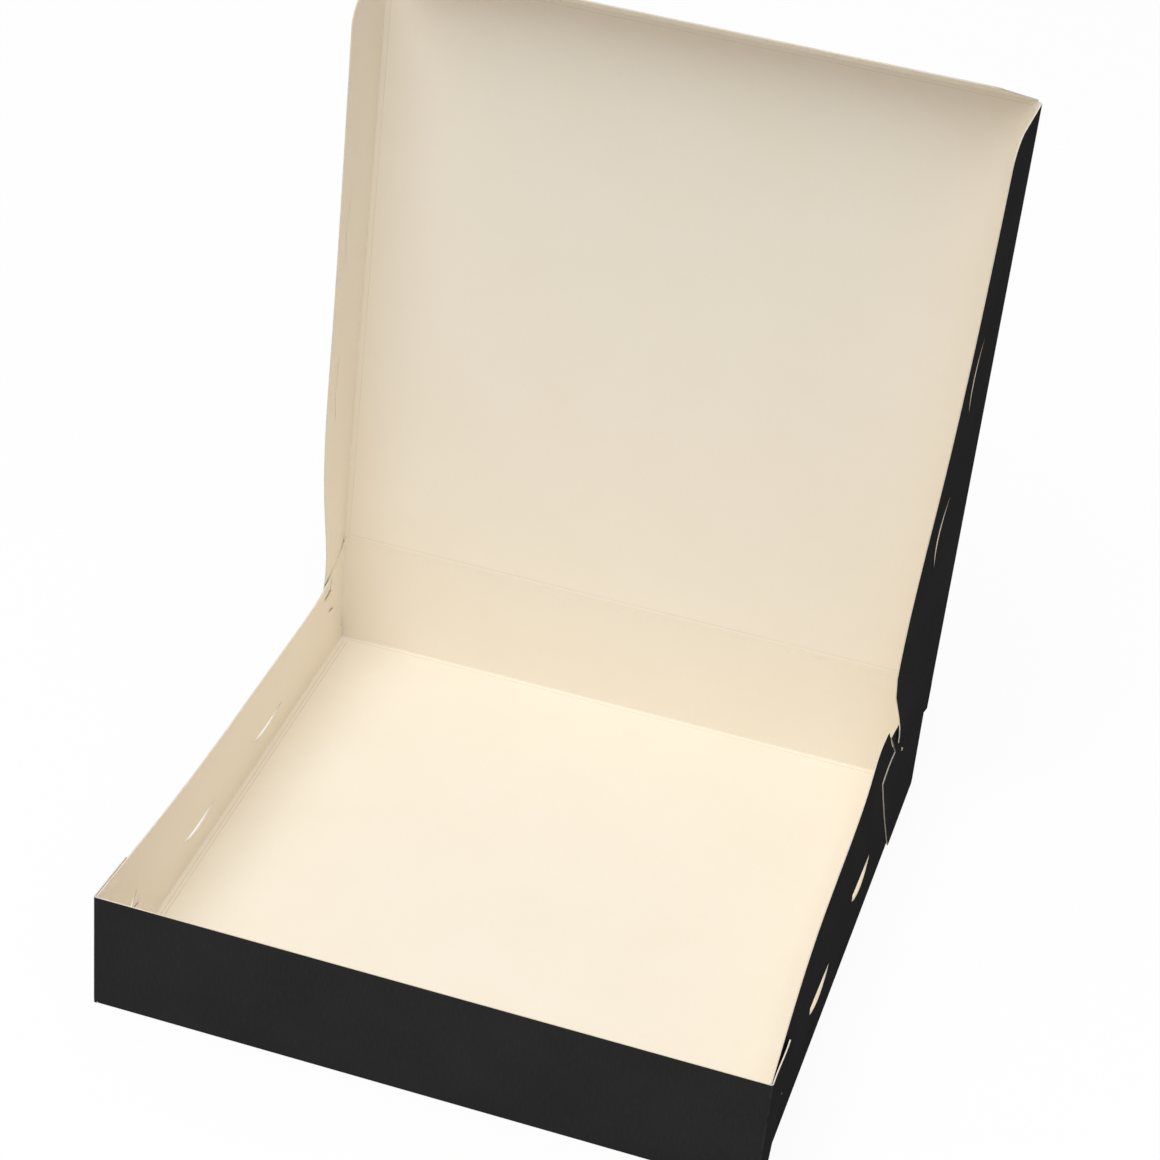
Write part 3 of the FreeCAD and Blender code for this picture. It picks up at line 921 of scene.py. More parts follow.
@dataclass
class Tray:
    """The tray: a floor, four walls and the four corner tabs that are hooked together.

    The front and rear walls each end in tabs, which are folded back outside the side
    walls. The side walls lean inwards between the corners. A tab's place is given by its
    reach, the distance from the front or rear face, and its height above the table.

    Attributes:
        plan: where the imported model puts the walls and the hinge.
        wardrobe: the finishes.
        bend: the radius of the creases, at the middle of the board.
        gap: the room between two layers of board.
        floor_gap: how far the tabs and barbs stay above the table.
        notch: how far outside the floor's creases the tabs begin.
        hinge_half: half of the width of the crease that the lid hangs on.
        hinge_dip: how far the rear wall's own board ends below that crease.
        leans: shares of the depth, with the left and the right wall's lean there in degrees.
        cut_length: the length of the half-moons in the side walls.
        cut_depth: how far their lower edges sag.
        cut_tongue: how far the left ones' upper edges sag.
        cut_height: how high the ends of the half-moons lie.
        cut_offset: how far before and behind the middle the half-moons lie.
        cut_gape: how far the right ones' upper edges are raised.
        cut_lead: how far from its end a raised edge is at its highest.
        front_tab: the front tab's corners, as reach and height in mm.
        front_slit: the reach and height of both ends of the front slit.
        front_slit_width: its width in the middle.
        wall_end: the corners of the side wall's rear end and of its barb, in mm.
        wall_round: the radius of the round edge below the barb.
        wall_foot: how high that edge ends.
        rear_foot: how far the rear tab reaches at its foot.
        rear_hook: the corner of the rear tab's hook.
        rear_round: the radius of the round edge below the hook.
        rear_tab: the rear tab's corners above its hook, in mm.
        rear_slit_reach: how far from the rear face the rear slit stands.
        rear_slit_span: the heights of its ends.
        rear_slit_width: its width.
        barb_span: the heights between which the barb goes through the rear slit.
        barb_cross: the length over which it changes sides.
        barb_room: how far below and above them the board still goes with it.
        tongue_span: the heights between which the tongue goes through the front slit.
        tongue_place: the reaches between which it does so.
        tongue_cross: the length over which it changes sides.
        splay: how far the right front tab's free top corner stands off from the side wall.
        splay_span: the heights between which the splay grows.
        line_insets: how far inside the floor's side creases the raised lines lie.
        line_end: how far from the corners they end.
        line_radius: the radius of their beads.
        crease_rows: how many rows of the mesh there are in a crease.
        side_rows: how many there are along a side wall.
        floor_rows: how many there are across the floor.
        tongue_rows: how many there are where the tongue changes sides.
        barb_rows: how many there are where the barb does.
        side_runs: how far up a side wall there are more rows, in mm.
        end_runs: how far up the front and the rear wall there are, in mm.
        tab_runs: how far along a tab there are, in mm.
    """

    plan: Plan
    wardrobe: Wardrobe
    bend: float = 0.9 * MM
    gap: float = 0.3 * MM
    floor_gap: float = 0.5 * MM
    notch: float = 0.4 * MM
    hinge_half: float = 148.6 * MM
    hinge_dip: float = 0.4 * MM
    leans: tuple[tuple[float, float, float], ...] = (
        (0.0, 0.0, 0.0),
        (0.14, 2.4, 2.4),
        (0.30, 4.6, 4.6),
        (0.50, 5.7, 5.7),
        (0.70, 6.4, 7.2),
        (0.84, 5.8, 8.3),
        (1.0, 0.0, 0.0),
    )
    cut_length: float = 37 * MM
    cut_depth: float = 4.6 * MM
    cut_tongue: float = 1.0 * MM
    cut_height: float = 21.5 * MM
    cut_offset: float = 41 * MM
    cut_gape: float = 3.0 * MM
    cut_lead: float = 1.0 * MM
    front_tab: tuple[Point, ...] = (
        (29.5, 60.0),
        (51.0, 40.0),
        (32.5, 40.0),
        (32.5, 26.0),
        (41.6, 25.2),
        (43.2, 23.0),
        (43.2, 18.0),
        (41.6, 15.8),
        (28.6, 15.4),
        (28.0, 14.0),
        (20.0, 0.5),
    )
    front_slit: Line = ((27 * MM, 12 * MM), (40 * MM, 35 * MM))
    front_slit_width: float = 3.4 * MM
    wall_end: tuple[Point, ...] = (
        (46.5, 60.0),
        (41.6, 48.5),
        (21.5, 48.0),
        (19.5, 46.6),
        (19.6, 41.4),
        (34.7, 40.5),
        (28.0, 33.0),
        (20.5, 31.0),
    )
    wall_round: float = 46 * MM
    wall_foot: float = 7 * MM
    rear_foot: float = 54.5 * MM
    rear_hook: Point = (62.5 * MM, 41.5 * MM)
    rear_round: float = 170 * MM
    rear_tab: tuple[Point, ...] = ((39.5, 44.5), (46, 57))
    rear_slit_reach: float = 29.5 * MM
    rear_slit_span: Point = (39 * MM, 55.5 * MM)
    rear_slit_width: float = 1.8 * MM
    barb_span: Point = (40.5 * MM, 48.5 * MM)
    barb_cross: float = 1.8 * MM
    barb_room: float = 1 * MM
    tongue_span: Point = (15 * MM, 26 * MM)
    tongue_place: Point = (27.5 * MM, 37.5 * MM)
    tongue_cross: float = 2.6 * MM
    splay: float = 1.6 * MM
    splay_span: Point = (30 * MM, 60 * MM)
    line_insets: Point = (1.6 * MM, 3.4 * MM)
    line_end: float = 4 * MM
    line_radius: float = 0.22 * MM
    crease_rows: int = 5
    side_rows: int = 44
    floor_rows: int = 12
    tongue_rows: int = 16
    barb_rows: int = 8
    side_runs: Sequence[float] = (12, 24, 36, 48)
    end_runs: Sequence[float] = (1.6, 15, 30, 45)
    tab_runs: Sequence[float] = range(4, 64, 4)

    def __post_init__(self) -> None:
        """Works out the lengths that follow from the others."""
        shares, left, right = zip(*self.leans)
        places = [(2 * share - 1) * self.plan.half_depth for share in shares]
        self.lean = {
            Hand.LEFT: SmoothCurve(places, [math.radians(angle) for angle in left]),
            Hand.RIGHT: SmoothCurve(places, [math.radians(angle) for angle in right]),
        }
        self.curve = self.bend * math.pi / 2
        self.lift = self.bend + self.plan.board / 2
        layer = self.plan.board + self.gap
        self.side_fold = self.plan.half_width - layer - self.lift
        self.end_fold = self.plan.half_depth - self.lift
        self.side_end = self.plan.half_depth - layer
        self.tab_off = self.bend + layer
        self.wall_run = self.plan.wall_height - self.lift
        self.wall_start = self.end_fold + self.curve
        self.tab_foot = self.wall_start - (self.lift - self.floor_gap)
        self.side_start = self.side_fold + self.curve
        beyond = 70 * MM  # more than any wall or tab is long
        self.past_side = self.side_start + beyond
        self.past_end = self.wall_start + beyond

    def build(self) -> list[bpy.types.Object]:
        """Makes the folded sheet and the beads on its floor.

        Returns:
            The finished pieces.
        """
        sheet = self.wardrobe.board(self.blank().folded("tray_sheet", self.fold))
        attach(sheet, "tray")
        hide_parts("tray")
        lines = list(self.crease_lines())
        beads = self.wardrobe.beads("tray_crease_lines", lines, self.line_radius)
        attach(beads, "tray")
        return [sheet, beads]

    # the flat blank: u runs across the box and v from front to rear, both from the middle

    def tab_point(self, reach: float, height: float, rear: bool) -> Point:
        """The flat place of a point of the right-hand tabs.

        Args:
            reach: its distance from the front or rear face.
            height: its height above the table.
            rear: whether the tab is the rear wall's.

        Returns:
            The flat point.
        """
        place = self.plan.half_depth - reach if rear else reach - self.plan.half_depth
        angle = self.lean[Hand.LEFT](place)
        run = (height - self.lift - self.tab_off * math.sin(angle)) / math.cos(angle)
        u = self.wall_start + reach - self.lift
        v = self.wall_start + run
        return (u, v) if rear else (u, -v)

    def side_point(self, place: float, height: float) -> Point:
        """The flat place of a point of the right-hand side wall.

        Args:
            place: how far it is behind the middle.
            height: its height above the table.

        Returns:
            The flat point.
        """
        angle = self.lean[Hand.LEFT](place)
        run = (height - self.lift - self.bend * math.sin(angle)) / math.cos(angle)
        return self.side_start + run, place

    def from_rear(self, reach: float, height: float) -> Point:
        """The flat place of a side wall's point that lies some way before the rear face."""
        return self.side_point(self.plan.half_depth - reach, height)

    def half_outline(self) -> list[Point]:
        """The right half of the blank's outline, from the front wall to the rear wall.

        Returns:
            The corners, counter-clockwise.
        """
        side, end, start = self.side_fold, self.end_fold, self.wall_start
        wall_u = self.side_start + SLACK
        notch_u = side + self.notch
        top = start + self.wall_run
        points = [self.tab_point(r * MM, height * MM, rear=False) for r, height in self.front_tab]
        points += [(notch_u, -self.tab_foot), (notch_u, -start), (side, -start), (side, -end)]
        points += [(self.side_start, -end), (wall_u, -self.side_end)]
        points += [self.side_point(-self.side_end, self.plan.wall_height)]
        points += [self.from_rear(reach * MM, height * MM) for reach, height in self.wall_end]
        tip = self.side_point(self.side_end, self.wall_foot)
        points += [*arc(points[-1], tip, -self.wall_round), tip]
        points += [(wall_u, self.side_end), (self.side_start, end)]
        points += [(side, end), (side, start), (notch_u, start), (notch_u, self.tab_foot)]
        foot = self.tab_point(self.rear_foot, self.floor_gap, rear=True)
        hook = self.tab_point(*self.rear_hook, rear=True)
        points += [foot, *arc(foot, hook, self.rear_round), hook]
        points += [self.tab_point(r * MM, height * MM, rear=True) for r, height in self.rear_tab]
        points += [(start, top), (self.hinge_half, top), (self.hinge_half, top - self.hinge_dip)]
        return points

    def half_holes(self, hand: Hand) -> Iterator[list[Point]]:
        """The holes of one half: two half-moons, the front slit and the rear slit.

        Args:
            hand: the side of the half. The half-moons of the right side stand wider open.

        Yields:
            Each hole, as it would lie on the right.
        """
        for middle in (-self.cut_offset, self.cut_offset):
            a = self.side_point(middle - self.cut_length / 2, self.cut_height)
            b = self.side_point(middle + self.cut_length / 2, self.cut_height)
            lower = sagging(b, a, self.cut_depth, CUT_PIECES)
            upper = sagging(a, b, -self.cut_tongue, CUT_PIECES)
            if hand is Hand.RIGHT:
                highest = middle - self.cut_length / 2 + self.cut_lead
                upper = [self.side_point(highest, self.cut_height + self.cut_gape)]
            yield [a, *upper, b, *lower]
        low, high = (
            self.side_point(reach - self.plan.half_depth, height) for reach, height in self.front_slit
        )
        half = self.front_slit_width / 2
        yield [low, *sagging(low, high, half), high, *sagging(high, low, half)]
        sides = [self.rear_slit_reach + sign * self.rear_slit_width / 2 for sign in (-1, 1)]
        yield [
            self.tab_point(reach, height, rear=True)
            for reach, height in (
                (sides[0], self.rear_slit_span[0]),
                (sides[1], self.rear_slit_span[0]),
                (sides[1], self.rear_slit_span[1]),
                (sides[0], self.rear_slit_span[1]),
            )
        ]

    def blank(self) -> Blank:
        """The whole flat blank, with the rows that its folds need.

        Returns:
            The blank.
        """
        half = self.half_outline()
        mirrored = [[(-u, v) for u, v in hole] for hole in self.half_holes(Hand.LEFT)]
        blank = Blank(
            outline=half + [(-u, v) for u, v in reversed(half)],
            holes=[*self.half_holes(Hand.RIGHT), *mirrored],
        )
        for sign in (-1, 1):
            self._add_side_rules(blank, sign)
            self._add_end_rules(blank, sign)
            for hand in (-1, 1):
                self._add_tab_rules(blank, hand, sign)
        for place in steps(-self.side_fold, self.side_fold, self.floor_rows)[1:-1]:
            blank.add_grid([place], [], (0, -self.past_end), (0, self.past_end))
            blank.add_grid([], [place], (-self.side_fold, 0), (self.side_fold, 0))
        blank.creases = self._creases()
        return blank

    def _near_crease(self) -> list[float]:
        """How far past the start of a crease its rows lie."""
        return [*steps(0.0, self.curve, self.crease_rows), -BESIDE, self.curve + BESIDE]

    def _add_side_rules(self, blank: Blank, hand: int) -> None:
        """Adds the rules of a side wall and its crease.

        Args:
            blank: the blank.
            hand: the sign of X on the wall's side.
        """
        columns = [hand * (self.side_fold + near) for near in self._near_crease()]
        columns += [hand * (self.side_start + run * MM) for run in self.side_runs]
        blank.add_grid(columns, [], (0, -self.side_end), (0, self.side_end))
        rows = steps(-self.side_end, self.side_end, self.side_rows)
        edge = sorted((hand * (self.side_fold - BESIDE), hand * self.past_side))
        blank.add_grid([], rows, (edge[0], 0), (edge[1], 0))

    def _add_end_rules(self, blank: Blank, sign: int) -> None:
        """Adds the rules of the front or rear wall and its crease.

        Args:
            blank: the blank.
            sign: the sign of Y at the wall.
        """
        rows = [sign * (self.end_fold + near) for near in self._near_crease()]
        blank.add_grid([], rows, (-self.side_fold, 0), (self.side_fold, 0))
        rows = [sign * (self.wall_start + run * MM) for run in self.end_runs]
        blank.add_grid([], rows, (-self.past_end, 0), (self.past_end, 0))

    def _add_tab_rules(self, blank: Blank, hand: int, sign: int) -> None:
        """Adds the rules of a tab, its crease and its lock.

        Args:
            blank: the blank.
            hand: the sign of X on the tab's side.
            sign: the sign of Y at the tab's wall.
        """
        columns = [hand * (self.end_fold + near) for near in self._near_crease()]
        columns += [hand * (self.wall_start + run * MM) for run in self.tab_runs]
        ends = sorted((sign * self.tab_foot, sign * self.past_end))
        blank.add_grid(columns, [], (0, ends[0]), (0, ends[1]))
        self._add_lock_rules(blank, hand, sign)

    def _add_lock_rules(self, blank: Blank, hand: int, sign: int) -> None:
        """Adds the close rules where a tongue or a barb crosses through its slit.

        Args:
            blank: the blank.
            hand: the sign of X on the lock's side.
            sign: the sign of Y there.
        """
        if sign < 0:
            low = self.wall_start + self.tongue_span[0] - self.lift
            high = self.wall_start + self.tongue_span[1] - self.lift
            reaches = steps(*self.tongue_place, self.tongue_rows)
            spots = [hand * (self.wall_start - self.lift + reach) for reach in reaches]
            blank.add_grid(spots, [], (0, -high), (0, -low))
            return
        low, high = (self.side_start + height - self.lift for height in self.barb_span)
        slit = self.plan.half_depth - self.rear_slit_reach
        spots = steps(slit + BESIDE, slit - BESIDE, self.barb_rows)
        ends = sorted((hand * low, hand * (high + self.barb_room)))
        blank.add_grid([], spots, (ends[0], 0), (ends[1], 0))

    def _creases(self) -> list[Line]:
        """The lines of the blank that are creased.

        Returns:
            Both ends of each line.
        """
        side = self.side_fold + self.curve / 2
        end = self.end_fold + self.curve / 2
        top = self.wall_start + self.wall_run
        lines: list[Line] = []
        for sign in (-1, 1):
            lines.append(((sign * side, -end), (sign * side, end)))
            lines.append(((-side, sign * end), (side, sign * end)))
            for hand in (-1, 1):
                lines.append(((hand * end, sign * self.wall_start), (hand * end, sign * top)))
        lines.append(((-self.hinge_half, top), (self.hinge_half, top)))
        return lines

    def fold(self, u: float, v: float) -> Vector:
        """The folded place of a flat point.

        Args:
            u: how far it is to the right of the middle.
            v: how far it is behind the middle.

        Returns:
            The place of the middle of the board there.
        """
        across, behind = abs(u), abs(v)
        if across > self.side_fold and behind < self.side_end + 2 * SLACK:
            return self._on_side(u, v)
        if behind > self.end_fold:
            return self._on_end(u, v)
        return Vector((u, v, self.plan.board / 2))

    def _on_side(self, u: float, v: float) -> Vector:
        """The place of a point of a side wall, its crease or its barb.

        Args:
            u: how far it is to the right of the middle.
            v: how far it is behind the middle.

        Returns:
            The place of the middle of the board there.
        """
        angle = self.lean[Hand.of(u)](v)
        past = abs(u) - self.side_fold
        run = past - self.curve
        if run < 0:
            turned = past / self.curve * (math.pi / 2 + angle)
            out, rise = self.bend * math.sin(turned), -self.bend * math.cos(turned)
        else:
            off = self.bend + self._barb_shift(v, run)
            out = off * math.cos(angle) - run * math.sin(angle)
            rise = off * math.sin(angle) + run * math.cos(angle)
        return Vector((math.copysign(self.side_fold + out, u), v, self.lift + rise))

    def _barb_shift(self, v: float, run: float) -> float:
        """How far outside its wall the rear barb lies, after it has crossed the tab's slit.

        Args:
            v: how far the point is behind the middle.
            run: how far it is up the wall from its crease.

        Returns:
            The distance, which is nothing outside the barb.
        """
        low, high = (height - self.lift for height in self.barb_span)
        if not low - self.barb_room < run < high + self.barb_room:
            return 0.0
        past_slit = self.rear_slit_reach - (self.plan.half_depth - v)
        crossed = past_slit / self.barb_cross + 0.5
        return 2 * (self.plan.board + self.gap) * smooth(crossed)

    def _on_end(self, u: float, v: float) -> Vector:
        """The place of a point of the front or rear wall, its crease or its tabs.

        Args:
            u: how far it is to the right of the middle.
            v: how far it is behind the middle.

        Returns:
            The place of the middle of the board there.
        """
        run = abs(v) - self.wall_start
        past = abs(u) - self.end_fold
        outer = self.end_fold + self.bend
        if run < 0 and abs(u) <= self.side_fold + SLACK:
            turned = (abs(v) - self.end_fold) / self.bend
            y_place = self.end_fold + self.bend * math.sin(turned)
            return Vector((u, math.copysign(y_place, v), self.lift - self.bend * math.cos(turned)))
        if past <= 0:
            return Vector((u, math.copysign(outer, v), self.lift + run))
        if past < self.curve:
            turned = past / self.bend
            y_place = math.copysign(self.end_fold + self.bend * math.cos(turned), v)
            x_place = self.end_fold + self.bend * math.sin(turned)
            leaned = self._on_tab(Hand.of(u), math.copysign(self.end_fold, v), run)
            x_place += (leaned.x - outer) * smooth(past / self.curve)
            return Vector((math.copysign(x_place, u), y_place, self.lift + run))
        y_place = math.copysign(self.end_fold - (past - self.curve), v)
        inwards = self._tongue_shift(y_place, run) - self._splay(Hand.of(u), y_place, run)
        placed = self._on_tab(Hand.of(u), y_place, run, inwards)
        return Vector((math.copysign(placed.x, u), placed.y, placed.z))

    def _on_tab(self, hand: Hand, y_place: float, run: float, inwards: float = 0.0) -> Vector:
        """The place of a point of a tab, as if on the right.

        Args:
            hand: the side that the tab is on.
            y_place: its place along Y.
            run: how far it is up the wall from its crease.
            inwards: how far inside its own layer it lies.

        Returns:
            The place, with X positive.
        """
        angle = self.lean[hand](y_place)
        off = self.tab_off - inwards
        x_place = self.side_fold + off * math.cos(angle) - run * math.sin(angle)
        return Vector((x_place, y_place, self.lift + off * math.sin(angle) + run * math.cos(angle)))

    def _tongue_shift(self, y_place: float, run: float) -> float:
        """How far inside its layer the front tab's tongue lies, as it crosses the slit.

        Args:
            y_place: the point's place along Y.
            run: how far it is up the wall from its crease.

        Returns:
            The distance, which is nothing outside the tongue.
        """
        height = run + self.lift
        if y_place > 0 or not self.tongue_span[0] < height < self.tongue_span[1] + SLACK:
            return 0.0
        (low_reach, low), (high_reach, high) = self.front_slit
        slit = low_reach + (high_reach - low_reach) * (height - low) / (high - low)
        crossed = (y_place + self.plan.half_depth - slit) / self.tongue_cross + 0.5
        return 2 * (self.plan.board + self.gap) * smooth(crossed)

    def _splay(self, hand: Hand, y_place: float, run: float) -> float:
        """How far the right front tab's free top corner stands off from the leaning wall.

        Args:
            hand: the side that the tab is on.
            y_place: the point's place along Y.
            run: how far it is up the wall from its crease.

        Returns:
            The distance, which is nothing on the other tabs.
        """
        if hand is Hand.LEFT or y_place > 0:
            return 0.0
        low, high = self.splay_span
        raised = smooth((run + self.lift - low) / (high - low))
        return self.splay * raised * smooth((y_place + self.plan.half_depth) / low)

    def crease_lines(self) -> Iterator[list[Vector]]:
        """The raised lines on the inside, beside the floor's creases.

        Yields:
            The points of each line.
        """
        sunk = self.plan.board - BEAD_SINK
        x_end = self.side_fold - self.line_end
        y_end = self.end_fold - self.line_end
        for sign in (-1, 1):
            for inset in self.line_insets:
                x_place = sign * (self.side_fold - inset)
                yield [Vector((x_place, y_place, sunk)) for y_place in (-y_end, y_end)]
            y_place = sign * (self.end_fold - self.line_insets[0])
            yield [Vector((x_place, y_place, sunk)) for x_place in (-x_end, x_end)]


# ---------------------------------------------------------------- lid and flaps


@dataclass
class LidPanel:
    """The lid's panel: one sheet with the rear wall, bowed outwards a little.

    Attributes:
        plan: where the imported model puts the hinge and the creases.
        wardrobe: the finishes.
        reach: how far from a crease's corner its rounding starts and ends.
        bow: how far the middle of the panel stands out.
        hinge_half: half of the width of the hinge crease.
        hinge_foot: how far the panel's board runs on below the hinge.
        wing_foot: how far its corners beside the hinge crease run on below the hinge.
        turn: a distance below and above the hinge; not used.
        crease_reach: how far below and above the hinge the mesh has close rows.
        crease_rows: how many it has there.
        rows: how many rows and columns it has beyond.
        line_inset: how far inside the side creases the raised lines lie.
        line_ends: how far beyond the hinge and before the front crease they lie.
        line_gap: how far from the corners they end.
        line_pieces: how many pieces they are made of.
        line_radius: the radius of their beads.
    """

    plan: Plan
    wardrobe: Wardrobe
    reach: float = 0.6 * MM
    bow: float = 2.4 * MM
    hinge_half: float = 148.6 * MM
    hinge_foot: float = 1.1 * MM
    wing_foot: float = 0.6 * MM
    turn: float = 0.8 * MM
    crease_reach: float = 0.9 * MM
    crease_rows: int = 9
    rows: int = 26
    line_inset: float = 2.4 * MM
    line_ends: Point = (2.0 * MM, 1.8 * MM)
    line_gap: float = 3 * MM
    line_pieces: int = 30
    line_radius: float = 0.2 * MM

    def build(self) -> list[bpy.types.Object]:
        """Makes the panel and the beads beside its creases.

        Returns:
            The finished pieces.
        """
        panel = self.wardrobe.board(self.blank().folded("lid_panel", self.fold))
        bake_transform(panel)
        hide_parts("lid")
        lines = list(self.crease_lines())
        beads = self.wardrobe.beads("lid_crease_lines", lines, self.line_radius)
        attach(beads, "lid")
        return [panel, beads]

    def blank(self) -> Blank:
        """The flat panel. u runs to the right and v up from the hinge.

        Returns:
            The blank.
        """
        edge = self.plan.flap_x - self.reach
        far = self.plan.lid_length - self.reach
        half = [
            (self.hinge_half, -self.hinge_foot),
            (self.hinge_half, -self.wing_foot),
            (edge, -self.wing_foot),
            (edge, far),
        ]
        blank = Blank(outline=half + [(-u, v) for u, v in reversed(half)])
        low, high = (-edge, -self.hinge_foot), (edge, far)
        rows = steps(-self.crease_reach, self.crease_reach, self.crease_rows)
        blank.add_grid([], rows, low, high)
        blank.add_grid([], steps(BESIDE, far - BESIDE, self.rows), low, high)
        blank.add_grid(steps(BESIDE - edge, edge - BESIDE, self.rows), [], low, high)
        blank.creases = [
            ((-self.hinge_half, 0.0), (self.hinge_half, 0.0)),
            ((-edge, far), (edge, far)),
            ((-edge, 0.0), (-edge, far)),
            ((edge, 0.0), (edge, far)),
        ]
        return blank

    def fold(self, u: float, v: float) -> Vector:
        """The place of a flat point: straight at the edges and bowed between them.

        Args:
            u: how far it is to the right of the middle.
            v: how far it is up from the hinge.

        Returns:
            The place of the middle of the board there.
        """
        if v <= -self.reach:
            return self.plan.hinge + Vector((u, 0, v))
        if v < self.reach:
            share = (v + self.reach) / (2 * self.reach)
            start = Vector((0, 0, -self.reach)) * (1 - share) ** 2
            end = (self.plan.on_lid(0, self.reach, 0) - self.plan.hinge) * share**2
            return self.plan.hinge + Vector((u, 0, 0)) + start + end
        across = math.cos(u / (self.plan.flap_x - self.reach) * math.pi / 2)
        along = math.sin(min(v / (self.plan.lid_length - self.reach), 1.0) * math.pi)
        return self.plan.on_lid(u, v, -self.bow * max(across, 0.0) * along)

    def crease_lines(self) -> Iterator[list[Vector]]:
        """The raised lines on the inside, beside the panel's creases.

        Yields:
            The points of each line.
        """
        inner = Vector((0, -math.cos(self.plan.lean), math.sin(self.plan.lean)))
        lift = inner * (self.plan.board / 2 - BEAD_SINK)
        edge = self.plan.flap_x - self.reach
        far = self.plan.lid_length - self.reach
        gap = self.line_gap
        along = steps(gap, far - gap, self.line_pieces)
        across = steps(gap - edge, edge - gap, self.line_pieces)
        for sign in (-1, 1):
            u = sign * (edge - self.line_inset)
            yield [self.fold(u, v) + lift for v in along]
        for v in (self.line_ends[0], far - self.line_ends[1]):
            yield [self.fold(u, v) + lift for u in across]


@dataclass
class FrontFlap:
    """The lid's front flap, with slanting ends and round corners.

    Attributes:
        plan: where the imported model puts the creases.
        wardrobe: the finishes.
        fold_angle: how far the flap is folded over, in radians.
        reach: how far from the crease's corner its rounding starts and ends.
        depth: the distance from the crease to the free edge.
        half: half of the flap's width at the crease.
        taper: how much narrower it is on each side at its free edge.
        corner: the radius of its corners.
        corner_pieces: how many straight pieces a corner has.
        crease_rows: how many rows of the mesh there are in the crease.
        rows: how far from the start of the crease there are more rows.
        columns: how many columns the mesh has.
    """

    plan: Plan
    wardrobe: Wardrobe
    fold_angle: float = math.radians(66)
    reach: float = 0.6 * MM
    depth: float = 38 * MM
    half: float = 149 * MM
    taper: float = 16 * MM
    corner: float = 9 * MM
    corner_pieces: int = 8
    crease_rows: int = 6
    rows: tuple[float, ...] = (3 * MM, 12 * MM, 24 * MM)
    columns: int = 24

    def build(self) -> list[bpy.types.Object]:
        """Makes the flap, which bends at its crease.

        Returns:
            The finished piece.
        """
        self.crease = Fold(self.fold_angle, self.reach)
        flap = self.wardrobe.board(self.blank().folded("front_flap", self.fold))
        start = self.fold(0.0, 0.0)
        end = self.fold(0.0, self.crease.run)
        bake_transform(flap)
        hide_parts("lid_front_flap")
        return [flap]

    def blank(self) -> Blank:
        """The flat flap. u runs to the right and v onwards from the panel's edge.

        Returns:
            The blank.
        """
        onward = self.crease.run - self.reach
        tip = self.half - self.taper
        lean = self.taper / self.depth
        start = (tip + self.corner * lean, self.depth - self.corner + onward)
        end = (tip - self.corner / 2, self.depth + onward)
        right = [(self.half, 0.0), (self.half, self.crease.run), start]
        right += [*arc(start, end, self.corner, self.corner_pieces), end]
        blank = Blank(outline=right + [(-u, v) for u, v in reversed(right)])
        low, high = (-self.half, 0.0), (self.half, self.depth + onward)
        blank.add_grid([], steps(0.0, self.crease.run, self.crease_rows)[1:], low, high)
        blank.add_grid(steps(low[0], high[0], self.columns)[1:-1], self.rows, low, high)
        blank.creases = [((-self.half, self.crease.run / 2), (self.half, self.crease.run / 2))]
        return blank

    def fold(self, u: float, v: float) -> Vector:
        """The place of a flat point."""
        onwards, inwards = self.crease.place(v)
        return self.plan.on_lid(u, self.plan.lid_length + onwards, inwards)


